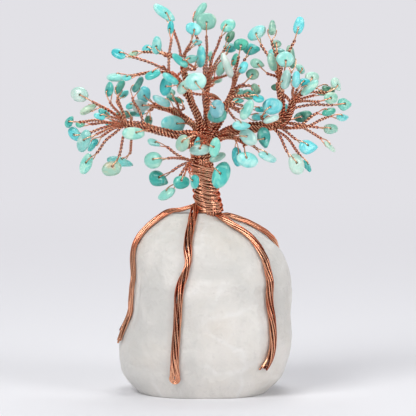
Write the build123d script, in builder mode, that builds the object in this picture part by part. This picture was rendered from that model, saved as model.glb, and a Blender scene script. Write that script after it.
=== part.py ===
from build123d import *
from math import cos, pi, radians, sin, sqrt, tan
import os

os.makedirs("parts", exist_ok=True)

# Gemstone tree: copper wire, drilled stone chips and a lump of quartz
# X runs to the right, Y to the back, Z up; the origin is the middle of the resting face

# Where the picture of the tree lies: pixels across the crown, and the view's tilt
axis_px = 205
trunk_top_px = 160
crown_span_px = 270
view_tilt_deg = 6

# The tree as a whole
crown_width = 102.6
crown_depth = 56.0
trunk_height = 20.0

# The quartz lump
rock_width = 64.6
rock_depth = 58.0
rock_height = 68.0

# The trunk: a core of wires in an outer winding, and a cut branch with a short winding
core_foot_radius = 5.0
core_low_radius = 3.9
core_waist_radius = 3.05
core_top_radius = 3.9
core_low_height = 4.0
core_waist_height = 13.0
core_sunk = 6.0
trunk_forward = 1.0
wrap_wire = 0.8
wrap_pitch = 1.25
wrap_seat = 0.12
wrap_start = 4.6
wrap_turns = 10.5
wrap_slope_deg = 15
cut_branch_radius = 0.7
cut_wrap_start = 4.6
cut_wrap_turns = 3

# The roots: ropes of smooth wire laid over the quartz
root_radius = 1.4
root_seat = 0.35
root_start_height = 2.2

# The twisted twigs and the loops that hold the stones
twig_radius = 0.42
leg_radius = 0.2
leg_spread = 0.215
leg_straight = 0.35
leg_seat = 0.3
leg_bend = 0.5
neck_gap = 1.1
approach_run = 1.6
bow_share = 0.07
fork_back_share = 0.8
fork_back_most = 9.0
twig_least = 8.0
knot_radius = 1.9
hinge_gap = 0.35
hinge_clear = 1.6
ball_share = 1.04

# The stones
stone_pixel = 0.38
hole_radius = 0.55
thick_share = 0.5
belt_cut_share = 0.28
hole_share = 0.25
rise_share = 0.8
fan_deg = 25

# Eight corners of each stone's outline, as shares of its half length and half width
round_shares = [(0.98, 0.2), (0.62, 0.78), (0.1, 1.0), (-0.52, 0.85), (-0.97, 0.24),
                (-0.8, -0.6), (-0.12, -0.98), (0.72, -0.68)]
oval_shares = [(1.0, 0.05), (0.72, 0.68), (0.14, 0.98), (-0.6, 0.8), (-1.0, 0.06),
               (-0.68, -0.72), (0.02, -1.0), (0.66, -0.74)]
drop_shares = [(0.99, -0.1), (0.52, 0.5), (-0.05, 0.86), (-0.62, 0.78), (-0.98, 0.2),
               (-0.86, -0.5), (-0.3, -0.95), (0.45, -0.66)]
block_shares = [(0.94, 0.34), (0.7, 0.7), (-0.1, 0.92), (-0.74, 0.66), (-0.96, -0.12),
                (-0.7, -0.7), (0.1, -0.96), (0.86, -0.5)]
outlines = [round_shares, drop_shares, oval_shares, block_shares]

# How far a stone is turned about its own length: flat side to the viewer, half way, edge on
flat = 15
half = 50
edge = 78

# The quartz in level slices: height share, and the reach every 30 degrees from +X as shares
rock_shares = [
    (0.0, [0.70, 0.78, 0.82, 0.76, 0.80, 0.80, 0.76, 0.84, 0.90, 0.86, 0.88, 0.78]),
    (0.07, [0.86, 0.92, 0.95, 0.90, 0.93, 0.93, 0.91, 0.98, 1.00, 0.96, 0.99, 0.93]),
    (0.2, [0.99, 1.06, 1.05, 0.97, 1.02, 1.04, 1.00, 1.06, 1.08, 1.02, 1.07, 1.05]),
    (0.43, [1.00, 1.08, 1.06, 0.98, 1.03, 1.00, 0.86, 0.95, 1.04, 1.01, 1.08, 1.08]),
    (0.64, [0.99, 1.05, 1.02, 0.93, 0.97, 0.92, 0.81, 0.90, 0.98, 0.96, 1.02, 1.06]),
    (0.78, [0.88, 0.94, 0.93, 0.86, 0.90, 0.88, 0.82, 0.86, 0.87, 0.85, 0.90, 0.92]),
    (0.86, [0.69, 0.77, 0.82, 0.79, 0.83, 0.82, 0.78, 0.77, 0.75, 0.74, 0.75, 0.73]),
    (0.91, [0.53, 0.61, 0.69, 0.69, 0.75, 0.73, 0.69, 0.66, 0.62, 0.61, 0.59, 0.55]),
    (1.0, [0.10, 0.14, 0.26, 0.42, 0.50, 0.50, 0.46, 0.40, 0.28, 0.18, 0.12, 0.10]),
]

# Each root's way over the quartz: compass turn and climb in degrees, seen from its heart
root_ways = {
    "left_root": [(199, 76), (193, 57), (193, 45), (194, 36), (196, 25), (198, 13),
                  (198, 0), (195, -13), (192, -26)],
    "front_root": [(243, 74), (251, 61), (254, 47), (256, 33), (252, 19), (251, 6),
                   (251, -10), (250, -26), (249, -38)],
    "right_front_root": [(309, 75), (316, 62), (319, 48), (319, 34), (318, 20), (317, 5),
                         (317, -12), (316, -28), (309, -37)],
    "right_back_root": [(6, 76), (12, 65), (15, 53), (20, 42), (28, 31), (35, 17),
                        (40, 2), (42, -14)],
}
heart_share = 0.5

# The trunk's ends and the crown's wire mass: pixel, pixel and depth share of the crown
trunk_foot_px = 209
trunk_head = (201.5, 160, 0.0)
crown_middle = (208, 134, 0.0)
crown_left = (199, 131, 0.02)
crown_right = (221, 132, 0.03)
crown_arm_end = (238, 136, 0.05)
cut_branch_way = [(204, 144, 0.05), (184.5, 145.5, 0.07)]
crown_post_height = 4.0
crown_post_radius = 4.05
crown_knot_radius = 4.3
crown_left_radius = 3.0
crown_right_radius = 2.6
crown_arm_radius = 1.5

# Branches: the way of each bundle of wires as pixel, pixel and depth share of the crown,
# from where it leaves the wire mass or another branch to the knot where its twigs spread
branch_ways = {
    "left": [(200, 132, 0.02), (174, 136, 0.04), (148, 127, 0.05), (116, 124, 0.02)],
    "mid_left": [(202, 129, -0.02), (184, 117, -0.12), (168, 109, -0.2), (150, 102, -0.24)],
    "upper_left": [(204, 125, 0.0), (193, 105, 0.06), (179, 81, 0.12), (161, 69, 0.14)],
    "top_left": [(193, 105, 0.06), (185, 78, -0.04), (181, 51, -0.1)],
    "top_centre": [(209, 127, -0.04), (206, 98, -0.14), (207, 76, -0.16)],
    "centre": [(213, 126, 0.06), (219, 111, 0.14), (222, 100, 0.18)],
    "upper_middle": [(214, 128, -0.02), (228, 103, -0.12), (237, 82, -0.14)],
    "right_low": [(224, 131, 0.02), (256, 127, 0.05), (283, 125, 0.06)],
    "right_top": [(283, 125, 0.06), (292, 111, 0.08), (292, 97, 0.1)],
    "upper_right": [(283, 125, 0.06), (281, 98, -0.02), (278, 71, -0.06)],
    "lower_right": [(226, 134, 0.08), (244, 143, 0.18), (254, 146, 0.2)],
    "lower_left": [(203, 158, 0.04), (190, 161, 0.12)],
    "front_low": [(208, 136, 0.08), (208, 142, 0.16)],
}
branch_radii = {"left": 1.3, "mid_left": 1.1, "upper_left": 1.25, "top_left": 1.05,
                "top_centre": 1.15, "centre": 1.1, "upper_middle": 1.1, "right_low": 1.6,
                "right_top": 1.2, "upper_right": 1.1, "lower_right": 0.9, "lower_left": 1.05,
                "front_low": 1.05}

# The branches that bend by hand, and how far along their first run the bend sits
bend_shares = {"left": 0.72, "upper_left": 0.7, "top_centre": 0.75, "upper_middle": 0.72,
               "right_low": 0.8, "right_top": 0.62, "upper_right": 0.5}

# Branches that grow out of another branch
parent_branches = {"top_left": "upper_left", "right_top": "right_low",
                   "upper_right": "right_low"}

# Where the first twig can leave a branch that doesn't bend, as a share of its way
fork_first_shares = {"centre": 0.85, "lower_left": 0.8, "front_low": 0.9, "lower_right": 0.3}

# A stone whose twig leaves the trunk itself: its branch, its number there, and the place
trunk_twig_starts = {("lower_left", 6): (207, 168, 0.03)}

# How far each branch's stones spread toward the viewer and away, in pixels
spreads_px = {"left": 40, "mid_left": 28, "upper_left": 32, "top_left": 30,
              "top_centre": 38, "centre": 32, "upper_middle": 28, "right_low": 36,
              "right_top": 34, "upper_right": 32, "lower_right": 22, "lower_left": 30,
              "front_low": 24}

# Stones: pixel, pixel, length and width in pixels, slant in degrees, forward share, turn
stones = {
    "left": [
        (80, 95, 17, 15, -20, 0.2, flat), (88.5, 109.5, 17, 8, 34, 0.1, -edge),
        (104, 113, 12, 8, -30, -0.5, half), (100, 117, 11, 7, -20, 0.6, half),
        (111, 123, 11, 7, 20, -0.9, half), (70, 122, 12, 10, 60, 0.3, flat),
        (80, 124, 9, 8, 0, -0.4, half), (75, 134, 15, 13, -45, 0.2, -flat),
        (85, 141.5, 22, 14, 70, 0.7, flat), (92.5, 145, 14, 8, 50, -0.5, edge),
        (110, 90, 14, 10, 80, 0.5, half), (119.5, 87, 15, 8, 60, -0.3, edge),
        (124, 94, 10, 8, 40, -0.7, -half), (126, 114, 19, 8, 8, -0.6, edge),
        (122, 121.5, 11, 7, 0, -1.2, half), (138, 85, 16, 8, 60, 0.0, -edge),
        (86.5, 164, 20, 13, 68, 0.2, flat), (120, 162, 24, 12, -12, -0.1, half),
        (112, 169, 19, 15, 10, 0.4, flat), (134, 134, 21, 13, 0, 0.7, flat),
    ],
    "mid_left": [
        (144, 94.5, 16, 14, 75, 0.5, flat), (141, 106, 16, 15, 0, 0.9, flat),
        (138, 112, 12, 9, 10, -0.2, half), (130, 105, 10, 8, 20, -0.5, half),
        (148, 120, 10, 9, 80, -0.6, -half), (161.5, 101, 18, 9, -30, 1.2, edge),
        (170, 93, 10, 9, 0, 0.9, flat), (175, 99, 18, 7, -15, 0.4, edge),
        (173, 124.5, 23, 18, -5, 0.9, flat),
    ],
    "upper_left": [
        (119, 55, 15, 10, -25, 0.1, half), (115.6, 78, 16, 9, 0, -0.2, edge),
        (127, 79, 10, 7, 0, 0.3, half), (153, 76, 15, 10, 25, 0.5, half),
        (171, 28.6, 12, 7, 85, -0.2, half), (171, 80, 17, 8, -35, 0.7, edge),
        (166, 87, 18, 12, 80, 0.2, flat), (180, 62, 18, 10, -40, 0.6, half),
    ],
    "top_left": [
        (164, 13, 24, 11, -38, 0.1, half), (133, 54, 13, 8, 25, -0.2, half),
        (147, 48, 10, 9, 0, -0.5, half), (157, 45.6, 17, 11, 85, 0.4, flat),
        (193.6, 29.5, 15, 12, -20, 0.4, flat), (197, 42.4, 10, 7, 0, 0.1, half),
        (191, 60, 12, 9, 20, 0.9, half), (198, 57.6, 10, 7, 60, -0.6, half),
        (201, 57, 20, 8, 85, 0.5, edge),
    ],
    "top_centre": [
        (206.5, 21.4, 19, 18, 0, 0.1, flat), (200, 11, 20, 9, 55, -0.3, edge),
        (228, 26, 15, 13, 30, 0.3, half), (230, 36, 12, 9, 60, -0.3, half),
        (230, 47, 12, 11, 0, -0.6, half), (210, 55, 10, 7, 80, -0.7, half),
        (221, 69, 14, 8, 70, 0.5, edge), (216, 79, 12, 8, 0, -0.6, half),
        (188, 76, 12, 8, 0, -0.6, half), (227, 66, 24, 9, -70, 0.9, edge),
    ],
    "centre": [
        (196, 83, 20, 18, 0, 0.9, flat), (184.5, 87, 18, 12, 50, 0.4, flat),
        (217, 110, 17, 15, 80, 0.8, flat), (217, 116, 18, 17, 0, 0.45, half),
        (246.5, 111, 20, 9, 62, 0.5, edge), (238.5, 101, 10, 7, 0, -0.7, half),
        (258, 99.6, 11, 9, 0, 0.3, half), (260, 110, 11, 7, 0, -0.3, half),
        (260, 117, 17, 7, 5, -0.6, edge), (241, 126.4, 17, 11, 0, 0.5, half),
    ],
    "upper_middle": [
        (241, 45, 14, 12, 0, 0.5, flat), (251.6, 49, 17, 15, 0, 0.1, half),
        (235, 59.4, 12, 8, 70, 0.2, half), (243, 68, 12, 10, 60, 0.7, half),
        (252.5, 74.5, 14, 13, 0, 0.5, flat), (250, 94, 14, 13, 0, -0.4, half),
        (256, 89, 11, 8, -60, 0.4, edge), (239, 91, 10, 8, 0, -0.8, half),
    ],
    "upper_right": [
        (257, 33, 21, 14, 30, -0.1, flat), (272, 28, 14, 8, 85, 0.1, edge),
        (276, 44, 10, 9, 0, -0.1, half), (298.5, 26, 17, 11, 75, 0.1, flat),
        (277, 52.4, 16, 10, 0, -0.3, half), (272, 62.7, 17, 9, -70, 0.5, edge),
        (285, 60.4, 16, 16, 0, 0.8, flat), (291, 57, 22, 9, -80, -0.2, edge),
        (300, 69, 11, 9, -50, 0.1, half), (257.5, 64, 16, 12, -10, 0.2, flat),
    ],
    "right_top": [
        (285, 80.6, 18, 12, 80, 0.6, half), (295, 80.6, 15, 9, 85, 0.9, edge),
        (304, 83, 11, 9, 0, 0.2, half), (311.6, 77.7, 14, 12, 0, -0.3, flat),
        (309, 88.7, 20, 8, 38, 0.6, edge), (335.5, 85.4, 14, 12, -50, 0.1, flat),
        (328, 89.7, 13, 7, -15, -0.2, edge), (322, 92.5, 10, 8, 0, -0.5, half),
        (330, 99, 14, 12, 0, 0.6, flat), (344, 104.5, 15, 14, 0, -0.2, flat),
        (277, 86.7, 11, 8, 0, -1.4, half),
    ],
    "right_low": [
        (328, 112.6, 14, 7, 20, 0.6, edge), (342.7, 117.4, 14, 9, 0, -0.5, half),
        (303, 116.5, 17, 11, 15, -0.5, flat), (330.5, 129, 16, 11, 0, -0.35, flat),
        (329.5, 147, 15, 7, -40, 0.1, half), (308, 147, 18, 16, 0, 0.4, flat),
        (296, 164.6, 20, 16, -70, 0.2, flat), (307, 166, 13, 8, -60, -0.2, half),
        (272, 107, 18, 17, 0, 0.6, flat), (286, 110, 12, 8, 90, -0.8, half),
        (270.6, 120, 15, 7, 15, 0.7, edge),
    ],
    "lower_right": [
        (267, 157.5, 18, 10, -20, 0.2, half), (264, 138.5, 20, 15, -80, -0.5, flat),
        (248, 137.6, 18, 14, -40, 0.3, flat), (237, 157, 18, 11, -80, -0.3, half),
        (247, 160.4, 20, 15, -15, 0.5, flat),
    ],
    "lower_left": [
        (153.4, 160.6, 18, 17, 0, 0.2, flat), (159, 179, 20, 17, -20, -0.2, flat),
        (167, 194, 18, 12, 25, 0.3, half), (181.5, 182.5, 15, 14, 0, 0.5, flat),
        (195, 181.7, 13, 10, 85, 0.9, half), (154.4, 143, 14, 8, -20, -0.3, half),
        (221, 175.3, 25, 17, 65, 0.5, flat),
    ],
    "front_low": [
        (199.6, 150.5, 19, 11, 5, 0.6, flat), (197.5, 143, 11, 8, 80, -0.2, half),
        (214.8, 148, 18, 11, 80, 1.0, flat), (217.5, 157.7, 16, 9, 20, 0.5, half),
        (183, 144, 16, 15, 60, 0.9, flat),
    ],
}


def spot(u, v, depth_share):
    """The place of a picture point that lies a share of the crown's depth toward the viewer."""
    pixel = crown_width / crown_span_px
    forward = depth_share * crown_depth
    tilt = radians(view_tilt_deg)
    rise = ((trunk_top_px - v) * pixel + forward * sin(tilt)) / cos(tilt)
    return Vector((u - axis_px) * pixel, -forward, rock_height + trunk_height + rise)


def length_of(points):
    return sum((b - a).length for a, b in zip(points, points[1:]))


def along(points, distance):
    """The point at a distance along straight runs."""
    for a, b in zip(points, points[1:]):
        run = (b - a).length
        if distance <= run or b is points[-1]:
            return a + (b - a) * (distance / run)
        distance -= run


def bend_radii(points):
    """The largest arc that each corner's shorter run allows."""
    radii = []
    for a, b, c in zip(points, points[1:], points[2:]):
        turn = radians(max((b - a).get_angle(c - b), 1))
        shorter = min((b - a).length, (c - b).length)
        radii.append(0.45 * shorter / tan(turn / 2))
    return radii


# Where each branch runs: its own part, from its bend or its start to its knot
ways = {name: [spot(*place) for place in way] for name, way in branch_ways.items()}
hinge_spots = {name: ways[name][0] + (ways[name][1] - ways[name][0]) * share
               for name, share in bend_shares.items()}


def fork_spot(name, target):
    """Where a twig leaves its branch: short of the place beside the stone."""
    way = ways[name]
    total = length_of(way)
    steps = 40
    first = total * fork_first_shares.get(name, 0)
    if name in bend_shares:
        first = (hinge_spots[name] - way[0]).length + hinge_clear
    nearest = min(range(steps + 1), key=lambda n: (along(way, total * n / steps) - target).length)
    aside = (along(way, total * nearest / steps) - target).length
    back = min(fork_back_share * aside, fork_back_most)
    back = max(back, sqrt(max(twig_least ** 2 - aside ** 2, 0)))
    return along(way, min(max(total * nearest / steps - back, first), total))


def stone_frame(name, row):
    """A stone's middle, the way it faces, its half sizes and the twig that reaches it."""
    u, v, long_px, short_px, slant, forward, turn = row
    spread = spreads_px[name] * crown_width / crown_span_px
    knot_u, knot_v, knot_depth = branch_ways[name][-1]
    middle = spot(u, v, knot_depth + forward * spread / crown_depth)
    face = radians(abs(turn))
    half_length = long_px * stone_pixel / 2
    half_width = short_px * stone_pixel / (2 * (cos(face) + thick_share * sin(face)))
    half_thick = half_width * thick_share
    fan = radians(fan_deg * (u - knot_u) / spreads_px[name])
    right = Vector(cos(fan), sin(fan), 0)
    long_way = right * cos(radians(slant)) + Vector(0, 0, 1) * sin(radians(slant))
    toward = Vector(sin(fan), -cos(fan), 0)
    across = toward.cross(long_way).normalized()
    normal = toward * cos(radians(turn)) + across * sin(radians(turn))
    plane = Plane(origin=middle, x_dir=long_way, z_dir=normal)
    number = stones[name].index(row)
    start = trunk_twig_starts.get((name, number))
    fork = spot(*start) if start else fork_spot(name, middle)
    pull = fork - middle
    inward = (pull - normal * pull.dot(normal)).normalized()
    local = (inward.dot(plane.x_dir) / half_length, inward.dot(plane.y_dir) / half_width)
    rim = 1 / sqrt(local[0] ** 2 + local[1] ** 2)
    return plane, (half_length, half_width, half_thick), fork, inward, rim


def twig_route(fork, plane, inward, rim):
    """The twisted pair's way from its fork to the neck beside the stone."""
    neck = plane.origin + inward * (rim + neck_gap)
    approach = neck + inward * approach_run
    middle = (fork + approach) * 0.5
    span = approach - fork
    bow = Vector(0, 0, 1).cross(span).cross(span) * -1
    return [fork, middle + bow.normalized() * (span.length * bow_share), approach, neck]


def leg_route(plane, half_thick, inward, rim):
    """The loop's way from the neck over one face, through the hole and back over the other."""
    neck = plane.origin + inward * (rim + neck_gap)
    over = half_thick + leg_seat + leg_radius
    corners = [(rim + neck_gap, leg_spread), (rim + neck_gap - leg_straight, leg_spread),
               (rim * rise_share, over), (rim * hole_share, over)]
    front = [plane.origin + inward * d + plane.z_dir * h for d, h in corners]
    back = [plane.origin + inward * d - plane.z_dir * h for d, h in reversed(corners)]
    return front + back


def bundle(runs):
    """A chain of tapering round bars with a ball at each bend."""
    with BuildPart() as bars:
        for a, b, radius_a, radius_b in runs:
            with Locations(Plane(origin=a, z_dir=b - a)):
                Cone(radius_a, radius_b, (b - a).length,
                     align=(Align.CENTER, Align.CENTER, Align.MIN))
        for a, b, radius_a, radius_b in runs[1:]:
            with Locations(a):
                Sphere(radius_a * ball_share)
    return bars.part


def bar(a, b, radius):
    """A straight round bar."""
    with BuildPart() as straight:
        with Locations(Plane(origin=a, z_dir=b - a)):
            Cylinder(radius, (b - a).length, align=(Align.CENTER, Align.CENTER, Align.MIN))
    return straight.part


def tube(points, radius, corner_radii):
    """A round tube along straight runs and tangent arcs."""
    with BuildPart() as bent:
        with BuildLine():
            FilletPolyline(*points, radius=corner_radii)
        with BuildSketch(Plane(origin=points[0], z_dir=points[1] - points[0])):
            Circle(radius)
        sweep()
    return bent.part


class Winding:
    """A wire wound round a plane's Z axis, its turns sloping down to the right."""

    def __init__(self, base, height, pitch, turns, slope_deg, reach):
        self.base, self.height, self.pitch = base, height, pitch
        self.turns, self.slope_deg, self.reach = turns, slope_deg, reach

    def at(self, angle):
        level = self.height + self.pitch * angle / (2 * pi)
        lean = tan(radians(self.slope_deg)) * self.reach(level) * cos(angle)
        reach = self.reach(level - lean)
        return self.base.from_local_coords(
            Vector(reach * cos(angle), reach * sin(angle), level - lean))

    def heading(self, angle):
        return (self.at(angle + radians(1)) - self.at(angle - radians(1))).normalized()

    def start_plane(self):
        return Plane(origin=self.at(0) - self.heading(0) * wrap_wire, z_dir=self.heading(0))

    def path(self):
        """Quarter turns, each a pair of tangent arcs, with a straight end one wire long."""
        quarters = [n * pi / 2 for n in range(round(self.turns * 4) + 1)]
        last = quarters[-1]
        with BuildLine() as wire:
            Line(self.start_plane().origin, self.at(0))
            for a, b in zip(quarters, quarters[1:]):
                p0, p1, t0, t1 = self.at(a), self.at(b), self.heading(a), self.heading(b)
                v, t = p1 - p0, t0 + t1
                k = 2 * (1 - t0.dot(t1))
                d = (sqrt(v.dot(t) ** 2 + k * v.dot(v)) - v.dot(t)) / k
                q0, q1 = p0 + t0 * d, p1 - t1 * d
                joint = (q0 + q1) * 0.5
                TangentArc(p0, joint, tangent=t0)
                TangentArc(joint, p1, tangent=q1 - q0)
            Line(self.at(last), self.at(last) + self.heading(last) * wrap_wire)
        return wire.line

    def least_gap(self):
        """The least gap of the wire to itself, measured on points of neighbouring turns."""
        steps = 36
        points = [self.at(2 * pi * n / steps) for n in range(round(self.turns * steps) + 1)]
        near = [(points[m] - points[n]).length for n in range(len(points))
                for m in range(n + steps // 2, min(n + steps * 3 // 2, len(points)))]
        return min(near) - wrap_wire


def stone_solid(plane, halves, inward, rim, outline):
    """A tumbled chip: an eight-cornered slab with cut edges and a drilled hole."""
    half_length, half_width, half_thick = halves
    with BuildPart() as stone:
        with BuildSketch(plane):
            with BuildLine():
                Polyline(*[(x * half_length, y * half_width) for x, y in outline], close=True)
            make_face()
        extrude(amount=half_thick, both=True)
        faces = stone.faces().sort_by(Axis(plane.origin, plane.z_dir))
        chamfer(faces[0].edges() + faces[-1].edges(), length=2 * half_thick * belt_cut_share)
        with Locations(Plane(origin=plane.origin + inward * (rim * hole_share),
                             x_dir=plane.x_dir, z_dir=plane.z_dir)):
            Hole(hole_radius)
    return stone.part


def twig_solid(plane, halves, fork, inward, rim):
    """A twisted pair from its branch to the stone, and the loop through the stone."""
    route = twig_route(fork, plane, inward, rim)
    legs = leg_route(plane, halves[2], inward, rim)
    stem = tube(route, twig_radius, bend_radii(route))
    loop = tube(legs, leg_radius, [min(r, leg_bend) for r in bend_radii(legs)])
    with BuildPart() as twig:
        add([stem, loop])
    return twig.part


# The quartz lump
with BuildPart() as rock_base:
    for height_share, reaches in rock_shares:
        with BuildSketch(Plane.XY.offset(rock_height * height_share)):
            with BuildLine():
                Spline(*[(reach * rock_width / 2 * cos(radians(30 * n)),
                          reach * rock_depth / 2 * sin(radians(30 * n)))
                         for n, reach in enumerate(reaches)], periodic=True)
            make_face()
    loft()
rock_base.part.label = "rock_base"
export_step(rock_base.part, "parts/rock_base.step")


# The trunk's core of straight wires, seated on the quartz
foot = Vector((trunk_foot_px - axis_px) * crown_width / crown_span_px, -trunk_forward, rock_height)
head = spot(*trunk_head)
trunk_axis = (head - foot).normalized()
trunk_plane = Plane(origin=foot, x_dir=(1, 0, 0), z_dir=trunk_axis)
core_height = (head - foot).length
core_profile = [(0, core_foot_radius), (core_low_height, core_low_radius),
                (core_waist_height, core_waist_radius), (core_height, core_top_radius)]


def core_radius(height):
    for (h0, r0), (h1, r1) in zip(core_profile, core_profile[1:]):
        if height <= h1 or h1 == core_height:
            return r0 + (r1 - r0) * (height - h0) / (h1 - h0)


with BuildPart() as trunk_core:
    with BuildSketch(Plane(origin=foot, x_dir=trunk_plane.x_dir, z_dir=trunk_plane.y_dir * -1)):
        with BuildLine():
            Polyline((0, -core_sunk), (core_foot_radius, -core_sunk),
                     *[(r, h) for h, r in core_profile], (0, core_height), close=True)
        make_face()
    revolve(axis=Axis(foot, trunk_axis))
    add(rock_base.part, mode=Mode.SUBTRACT)
trunk_core.part.label = "trunk_core"
export_step(trunk_core.part, "parts/trunk_core.step")


def wrap_reach(height):
    return core_radius(height) + wrap_seat + wrap_wire / 2


# The winding round the trunk
trunk_winding = Winding(trunk_plane, wrap_start, wrap_pitch, wrap_turns, wrap_slope_deg, wrap_reach)
trunk_path = trunk_winding.path()
with BuildPart() as trunk_wrap:
    with BuildSketch(trunk_winding.start_plane()):
        Circle(wrap_wire / 2)
    sweep(path=trunk_path)
trunk_wrap.part.label = "trunk_wrap"
export_step(trunk_wrap.part, "parts/trunk_wrap.step")
print("trunk winding: least gap to itself", round(trunk_winding.least_gap(), 3))
print("trunk winding: volume over section times length",
      round(trunk_wrap.part.volume / (pi * wrap_wire ** 2 / 4 * sum(e.length for e in trunk_path.edges())), 4))

# The crown's wire mass, with a stub for each branch that bends
post_top = head + trunk_axis * crown_post_height
middle, left_end, right_end, arm_end = (spot(*place) for place in (
    crown_middle, crown_left, crown_right, crown_arm_end))


def stub(name):
    """The fixed start of a branch, up to the gap where it bends."""
    start, second = ways[name][0], ways[name][1]
    reach = (hinge_spots[name] - start).length - hinge_gap / 2
    return bar(start, start + (second - start).normalized() * reach, branch_radii[name])


def free_branch(name):
    """A branch beyond its bend, or all of it where it doesn't bend."""
    way = ways[name]
    if name in bend_shares:
        forward = (way[1] - way[0]).normalized()
        way = [hinge_spots[name] + forward * (hinge_gap / 2)] + way[1:]
    if len(way) == 2:
        return bar(*way, branch_radii[name])
    return tube(way, branch_radii[name], bend_radii(way))


crown_pieces = [
    bundle([(head, post_top, core_top_radius, crown_post_radius),
            (post_top, middle, crown_post_radius, crown_knot_radius)]),
    bundle([(middle, left_end, crown_knot_radius, crown_left_radius)]),
    bundle([(middle, right_end, crown_knot_radius, crown_right_radius),
            (right_end, arm_end, crown_right_radius, crown_arm_radius)]),
] + [stub(name) for name in bend_shares if name not in parent_branches]
with BuildPart() as crown_mass:
    add(crown_pieces)
    for place, radius in ((middle, crown_knot_radius), (left_end, crown_left_radius),
                          (arm_end, crown_arm_radius)):
        with Locations(place):
            Sphere(radius * ball_share)
crown_mass.part.label = "crown_mass"
export_step(crown_mass.part, "parts/crown_mass.step")

# The cut branch below the crown and the short winding that closes it
cut_from, cut_to = (spot(*place) for place in cut_branch_way)
cut_bar = bar(cut_from, cut_to, cut_branch_radius)
with BuildPart() as cut_branch:
    add(cut_bar)
    add(crown_mass.part, mode=Mode.SUBTRACT)
cut_branch.part.label = "cut_branch"
export_step(cut_branch.part, "parts/cut_branch.step")

cut_winding = Winding(Plane(origin=cut_from, x_dir=(0, 0, 1), z_dir=cut_to - cut_from),
                      cut_wrap_start, wrap_pitch, cut_wrap_turns, 0,
                      lambda level: cut_branch_radius + wrap_seat + wrap_wire / 2)
cut_path = cut_winding.path()
with BuildPart() as cut_branch_wrap:
    with BuildSketch(cut_winding.start_plane()):
        Circle(wrap_wire / 2)
    sweep(path=cut_path)
cut_branch_wrap.part.label = "cut_branch_wrap"
export_step(cut_branch_wrap.part, "parts/cut_branch_wrap.step")
print("cut branch winding: least gap to itself", round(cut_winding.least_gap(), 3))

# The roots: each leaves the trunk's foot and runs over the quartz
heart = Vector(0, 0, rock_height * heart_share)


def rest_on_rock(turn, climb):
    """A root's middle over the quartz where a line from its heart comes out."""
    way = Vector(cos(radians(turn)) * cos(radians(climb)),
                 sin(radians(turn)) * cos(radians(climb)), sin(radians(climb)))
    hits = [hit for face in rock_base.part.faces()
            for hit in face.find_intersection_points(Axis(heart, way))
            if (hit[0] - heart).dot(way) > 0]
    point, normal = max(hits, key=lambda hit: (hit[0] - heart).dot(way))
    if normal.dot(way) < 0:
        normal = normal * -1
    return point + normal * (root_radius + root_seat)


for name, places in root_ways.items():
    route = [foot + trunk_axis * root_start_height] + [rest_on_rock(*place) for place in places]
    rope = tube(route, root_radius, bend_radii(route))
    print(name, "least bend", round(min(bend_radii(route)), 1), "volume over section times length",
          round(rope.volume / (pi * root_radius ** 2 * length_of(route)), 3))
    with BuildPart() as root:
        add(rope)
        add(trunk_core.part, mode=Mode.SUBTRACT)
        add(rock_base.part, mode=Mode.SUBTRACT)
    root.part.label = name
    export_step(root.part, f"parts/{name}.step")

# The branches, their twigs and their stones
branch_parts = {}
for name in branch_ways:
    children = [child for child in parent_branches
                if parent_branches[child] == name and child in bend_shares]
    bars = [free_branch(name)] + [stub(child) for child in children]
    knot_plane = Plane(origin=ways[name][-1], z_dir=ways[name][-1] - ways[name][-2])
    carriers = []
    if name not in bend_shares:
        parent = parent_branches.get(name)
        carriers = [branch_parts[parent]] if parent else [crown_mass.part, trunk_core.part]
    with BuildPart() as branch:
        add(bars)
        with Locations(knot_plane):
            Sphere(knot_radius)
        if carriers:
            add(carriers, mode=Mode.SUBTRACT)
    branch.part.label = f"{name}_branch"
    export_step(branch.part, f"parts/{name}_branch.step")
    branch_parts[name] = branch.part

    frames = [stone_frame(name, row) for row in stones[name]]
    wires = [twig_solid(*frame) for frame in frames]
    with BuildPart() as twigs:
        add(wires)
        add([branch.part] + carriers, mode=Mode.SUBTRACT)
    twigs.part.label = f"{name}_twigs"
    export_step(twigs.part, f"parts/{name}_twigs.step")

    chips = [stone_solid(plane, halves, inward, rim, outlines[number % len(outlines)])
             for number, (plane, halves, fork, inward, rim) in enumerate(frames)]
    with BuildPart() as gems:
        add(chips)
    gems.part.label = f"{name}_stones"
    export_step(gems.part, f"parts/{name}_stones.step")
    print(name, len(gems.part.solids()), "stones,", len(twigs.part.solids()), "twig solids")
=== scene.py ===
import bpy
import numpy as np
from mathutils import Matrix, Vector
from mathutils.bvhtree import BVHTree


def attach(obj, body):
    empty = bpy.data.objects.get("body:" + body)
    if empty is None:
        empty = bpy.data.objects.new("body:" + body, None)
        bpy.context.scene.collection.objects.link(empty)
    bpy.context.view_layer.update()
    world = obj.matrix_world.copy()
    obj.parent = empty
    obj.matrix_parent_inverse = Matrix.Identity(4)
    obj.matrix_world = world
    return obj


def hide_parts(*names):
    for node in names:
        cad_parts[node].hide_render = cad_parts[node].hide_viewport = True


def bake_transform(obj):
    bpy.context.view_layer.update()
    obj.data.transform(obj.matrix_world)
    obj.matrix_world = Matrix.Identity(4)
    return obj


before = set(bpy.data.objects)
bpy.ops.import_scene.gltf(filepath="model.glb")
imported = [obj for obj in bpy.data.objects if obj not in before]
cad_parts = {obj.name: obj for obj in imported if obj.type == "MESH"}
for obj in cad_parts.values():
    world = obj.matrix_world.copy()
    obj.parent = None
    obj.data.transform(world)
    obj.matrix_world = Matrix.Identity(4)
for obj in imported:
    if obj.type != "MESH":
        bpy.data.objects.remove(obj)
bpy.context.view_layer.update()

# Gemstone tree: twisted copper wire with drilled amazonite chips on a lump of frosted quartz.
# Lengths below are millimetres, and a piece's points become metres when its mesh is made.
metre = 0.001
fullTurn = 2 * np.pi
vertical = np.array([0, 0, 1.0])
scene = bpy.context.scene
print("frame loaded:", len(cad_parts), "nodes")


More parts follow.
